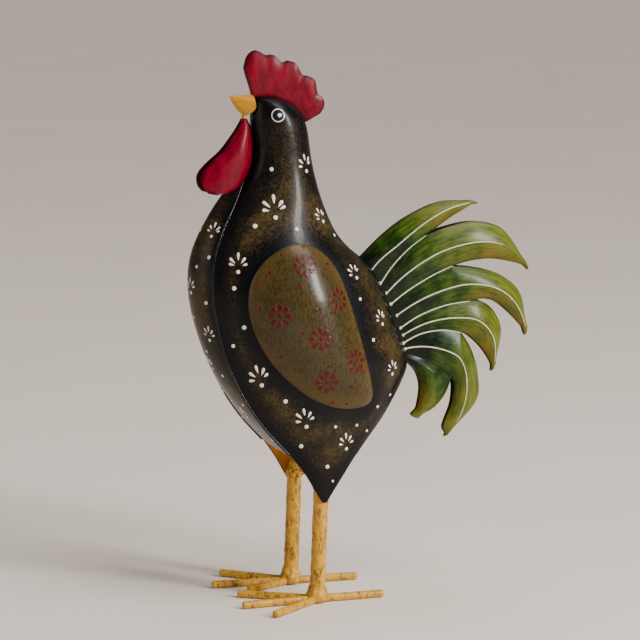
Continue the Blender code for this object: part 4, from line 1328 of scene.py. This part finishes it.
def build_legs(paint):
    high_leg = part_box("leg_left")[1].z / MM
    for name, sign in SIDES:
        start = (sign * LEG_X, FOOT_Y, LEG_BOTTOM)
        end = (sign * LEG_X, LEG_Y, high_leg)
        leg_piece(f"leg_{name}", rough_rod(start, end, LEG_RADIUS, 11 * sign, 0.34, 110, 40, 0.9), paint)
        leg_piece(f"thigh_weld_{name}", mirrored(*thigh_beads(BEAD_STEP[name]), sign), paint, 80)
        leg_piece(f"ankle_weld_{name}", ankle(sign), paint, 80)
        foot = np.array([sign * LEG_X, FOOT_Y, TOE_HEIGHT])
        for n, (toe, angle, first, reach) in enumerate(TOES[name]):
            turn = math.radians(angle) * sign
            way = np.array([math.sin(turn), -math.cos(turn), 0.0])
            root = foot + way * max(first - TOE_ROOT, 0.0)
            verts, faces = rough_rod(root, foot + way * reach, TOE_RADIUS, 31 + n * 3.1 * sign, 0.16, 60, 24)
            verts[:, 2] = np.maximum(verts[:, 2], 0.05)
            leg_piece(f"toe_{name}_{toe}", (verts, faces), paint)


def ankle(sign):
    """The lumpy weld that spreads from a leg over the roots of its toes."""
    profile = smooth_line(ANKLE, 5)
    around = 48
    verts = []
    for i, (r, z) in enumerate(profile):
        share = 1 if i < len(profile) - 3 else 0.3
        for j in range(around):
            a = 2 * math.pi * j / around
            way = Vector((math.cos(a), math.sin(a), 0))
            lump = 0.8 * noise.noise(way * 2.2 + Vector((0, 0, z / 4 + 7 * sign)))
            fine = 0.3 * noise.noise(way * 7 + Vector((0, 0, z / 1.6)))
            reach = r + (lump + fine) * share
            verts.append((sign * LEG_X + reach * way.x, FOOT_Y + reach * way.y, z))
    return np.array(verts), ring_faces(len(profile), around)


# ---------------------------------------------------------------- stage

def build_floor():
    bm = bmesh.new()
    bmesh.ops.create_circle(bm, cap_ends=True, segments=96, radius=FLOOR_RADIUS)
    mesh = bpy.data.meshes.new("floor")
    bm.to_mesh(mesh)
    bm.free()
    floor = bpy.data.objects.new("floor", mesh)
    floor.data.materials.append(floor_material())
    bpy.context.scene.collection.objects.link(floor)


def placed(name, data, place, back):
    """A camera or light at place, turned so that back is the direction behind it."""
    obj = bpy.data.objects.new(name, data)
    obj.location = place
    obj.rotation_euler = back.to_track_quat("Z", "Y").to_euler()
    bpy.context.scene.collection.objects.link(obj)
    return obj


def build_stage():
    """The floor, a soft room, the camera, three soft boxes and a broad sun."""
    build_floor()
    world = bpy.data.worlds.new("soft_room")
    bpy.context.scene.world = world
    world.use_nodes = True
    background = world.node_tree.nodes["Background"]
    background.inputs["Color"].default_value = (0.62, 0.60, 0.60, 1.0)
    background.inputs["Strength"].default_value = 0.22

    azimuth, elevation = math.radians(CAMERA_AZIMUTH), math.radians(CAMERA_ELEVATION)
    flat = math.cos(elevation)
    toward = Vector((math.sin(azimuth) * flat, -math.cos(azimuth) * flat, math.sin(elevation)))
    right = Vector((math.cos(azimuth), math.sin(azimuth), 0.0))
    level = Vector((toward.x, toward.y, 0.0)).normalized()
    up = Vector((0.0, 0.0, 1.0))
    middle = (Vector(cad_low) + Vector(cad_high)) / 2
    aim = Vector((0.0, middle.y, middle.z)) + Vector(AIM_SHIFT)
    camera_data = bpy.data.cameras.new("camera")
    camera_data.lens = CAMERA_LENS
    camera_data.sensor_width = 36.0
    bpy.context.scene.camera = placed("camera", camera_data, aim + toward * CAMERA_DISTANCE, toward)

    for name, ahead, aside, above, size, power, colour in SOFTBOXES:
        place = level * ahead + right * aside + up * above
        data = bpy.data.lights.new(name, "AREA")
        data.shape = "RECTANGLE"
        data.size, data.size_y = size
        data.energy = power
        data.color = colour
        placed(name, data, aim + place, place)
    sun_data = bpy.data.lights.new("sun", "SUN")
    sun_data.energy = 2.2
    sun_data.angle = math.radians(35.0)
    sun_data.color = (1.0, 0.96, 0.92)
    placed("sun", sun_data, (0.0, 0.0, 0.0), level * 0.35 + right * 0.55 + up)


def main():
    paint = body_paint()
    orange = inside_paint()
    crimson = crimson_paint()
    beak_yellow = yellow_paint("beak_yellow", *BEAK_COLOURS, 0.1, 0.5)
    leg_yellow = yellow_paint("leg_yellow", *LEG_COLOURS, 0.2, 1.0)
    white = dab_paint("white_dab", (0.80, 0.76, 0.70), (0.70, 0.66, 0.60))
    cream = dab_paint("cream_line", (0.66, 0.63, 0.48), (0.55, 0.52, 0.36))
    red = dab_paint("red_dab", (0.085, 0.0003, 0.0036), (0.050, 0.0003, 0.0026), 0.34)
    black = dab_paint("black_dab", (0.006, 0.006, 0.010), (0.010, 0.010, 0.014), 0.2)
    seam_black = dab_paint("seam_black", (0.0045, 0.0045, 0.0060), (0.0090, 0.0085, 0.0090), 0.16)
    body_tree, breast_tree = build_body(paint, orange, seam_black)
    build_comb(crimson)
    build_wattles(crimson, beak_yellow)
    build_beak(beak_yellow)
    wing_tree = build_wings(wing_paint(), dark_inside(), body_tree)
    build_tail(tail_paint(), dark_inside(), cream)
    build_dabs(body_tree, breast_tree, wing_tree, white, red, black)
    build_legs(leg_yellow)
    build_stage()


main()
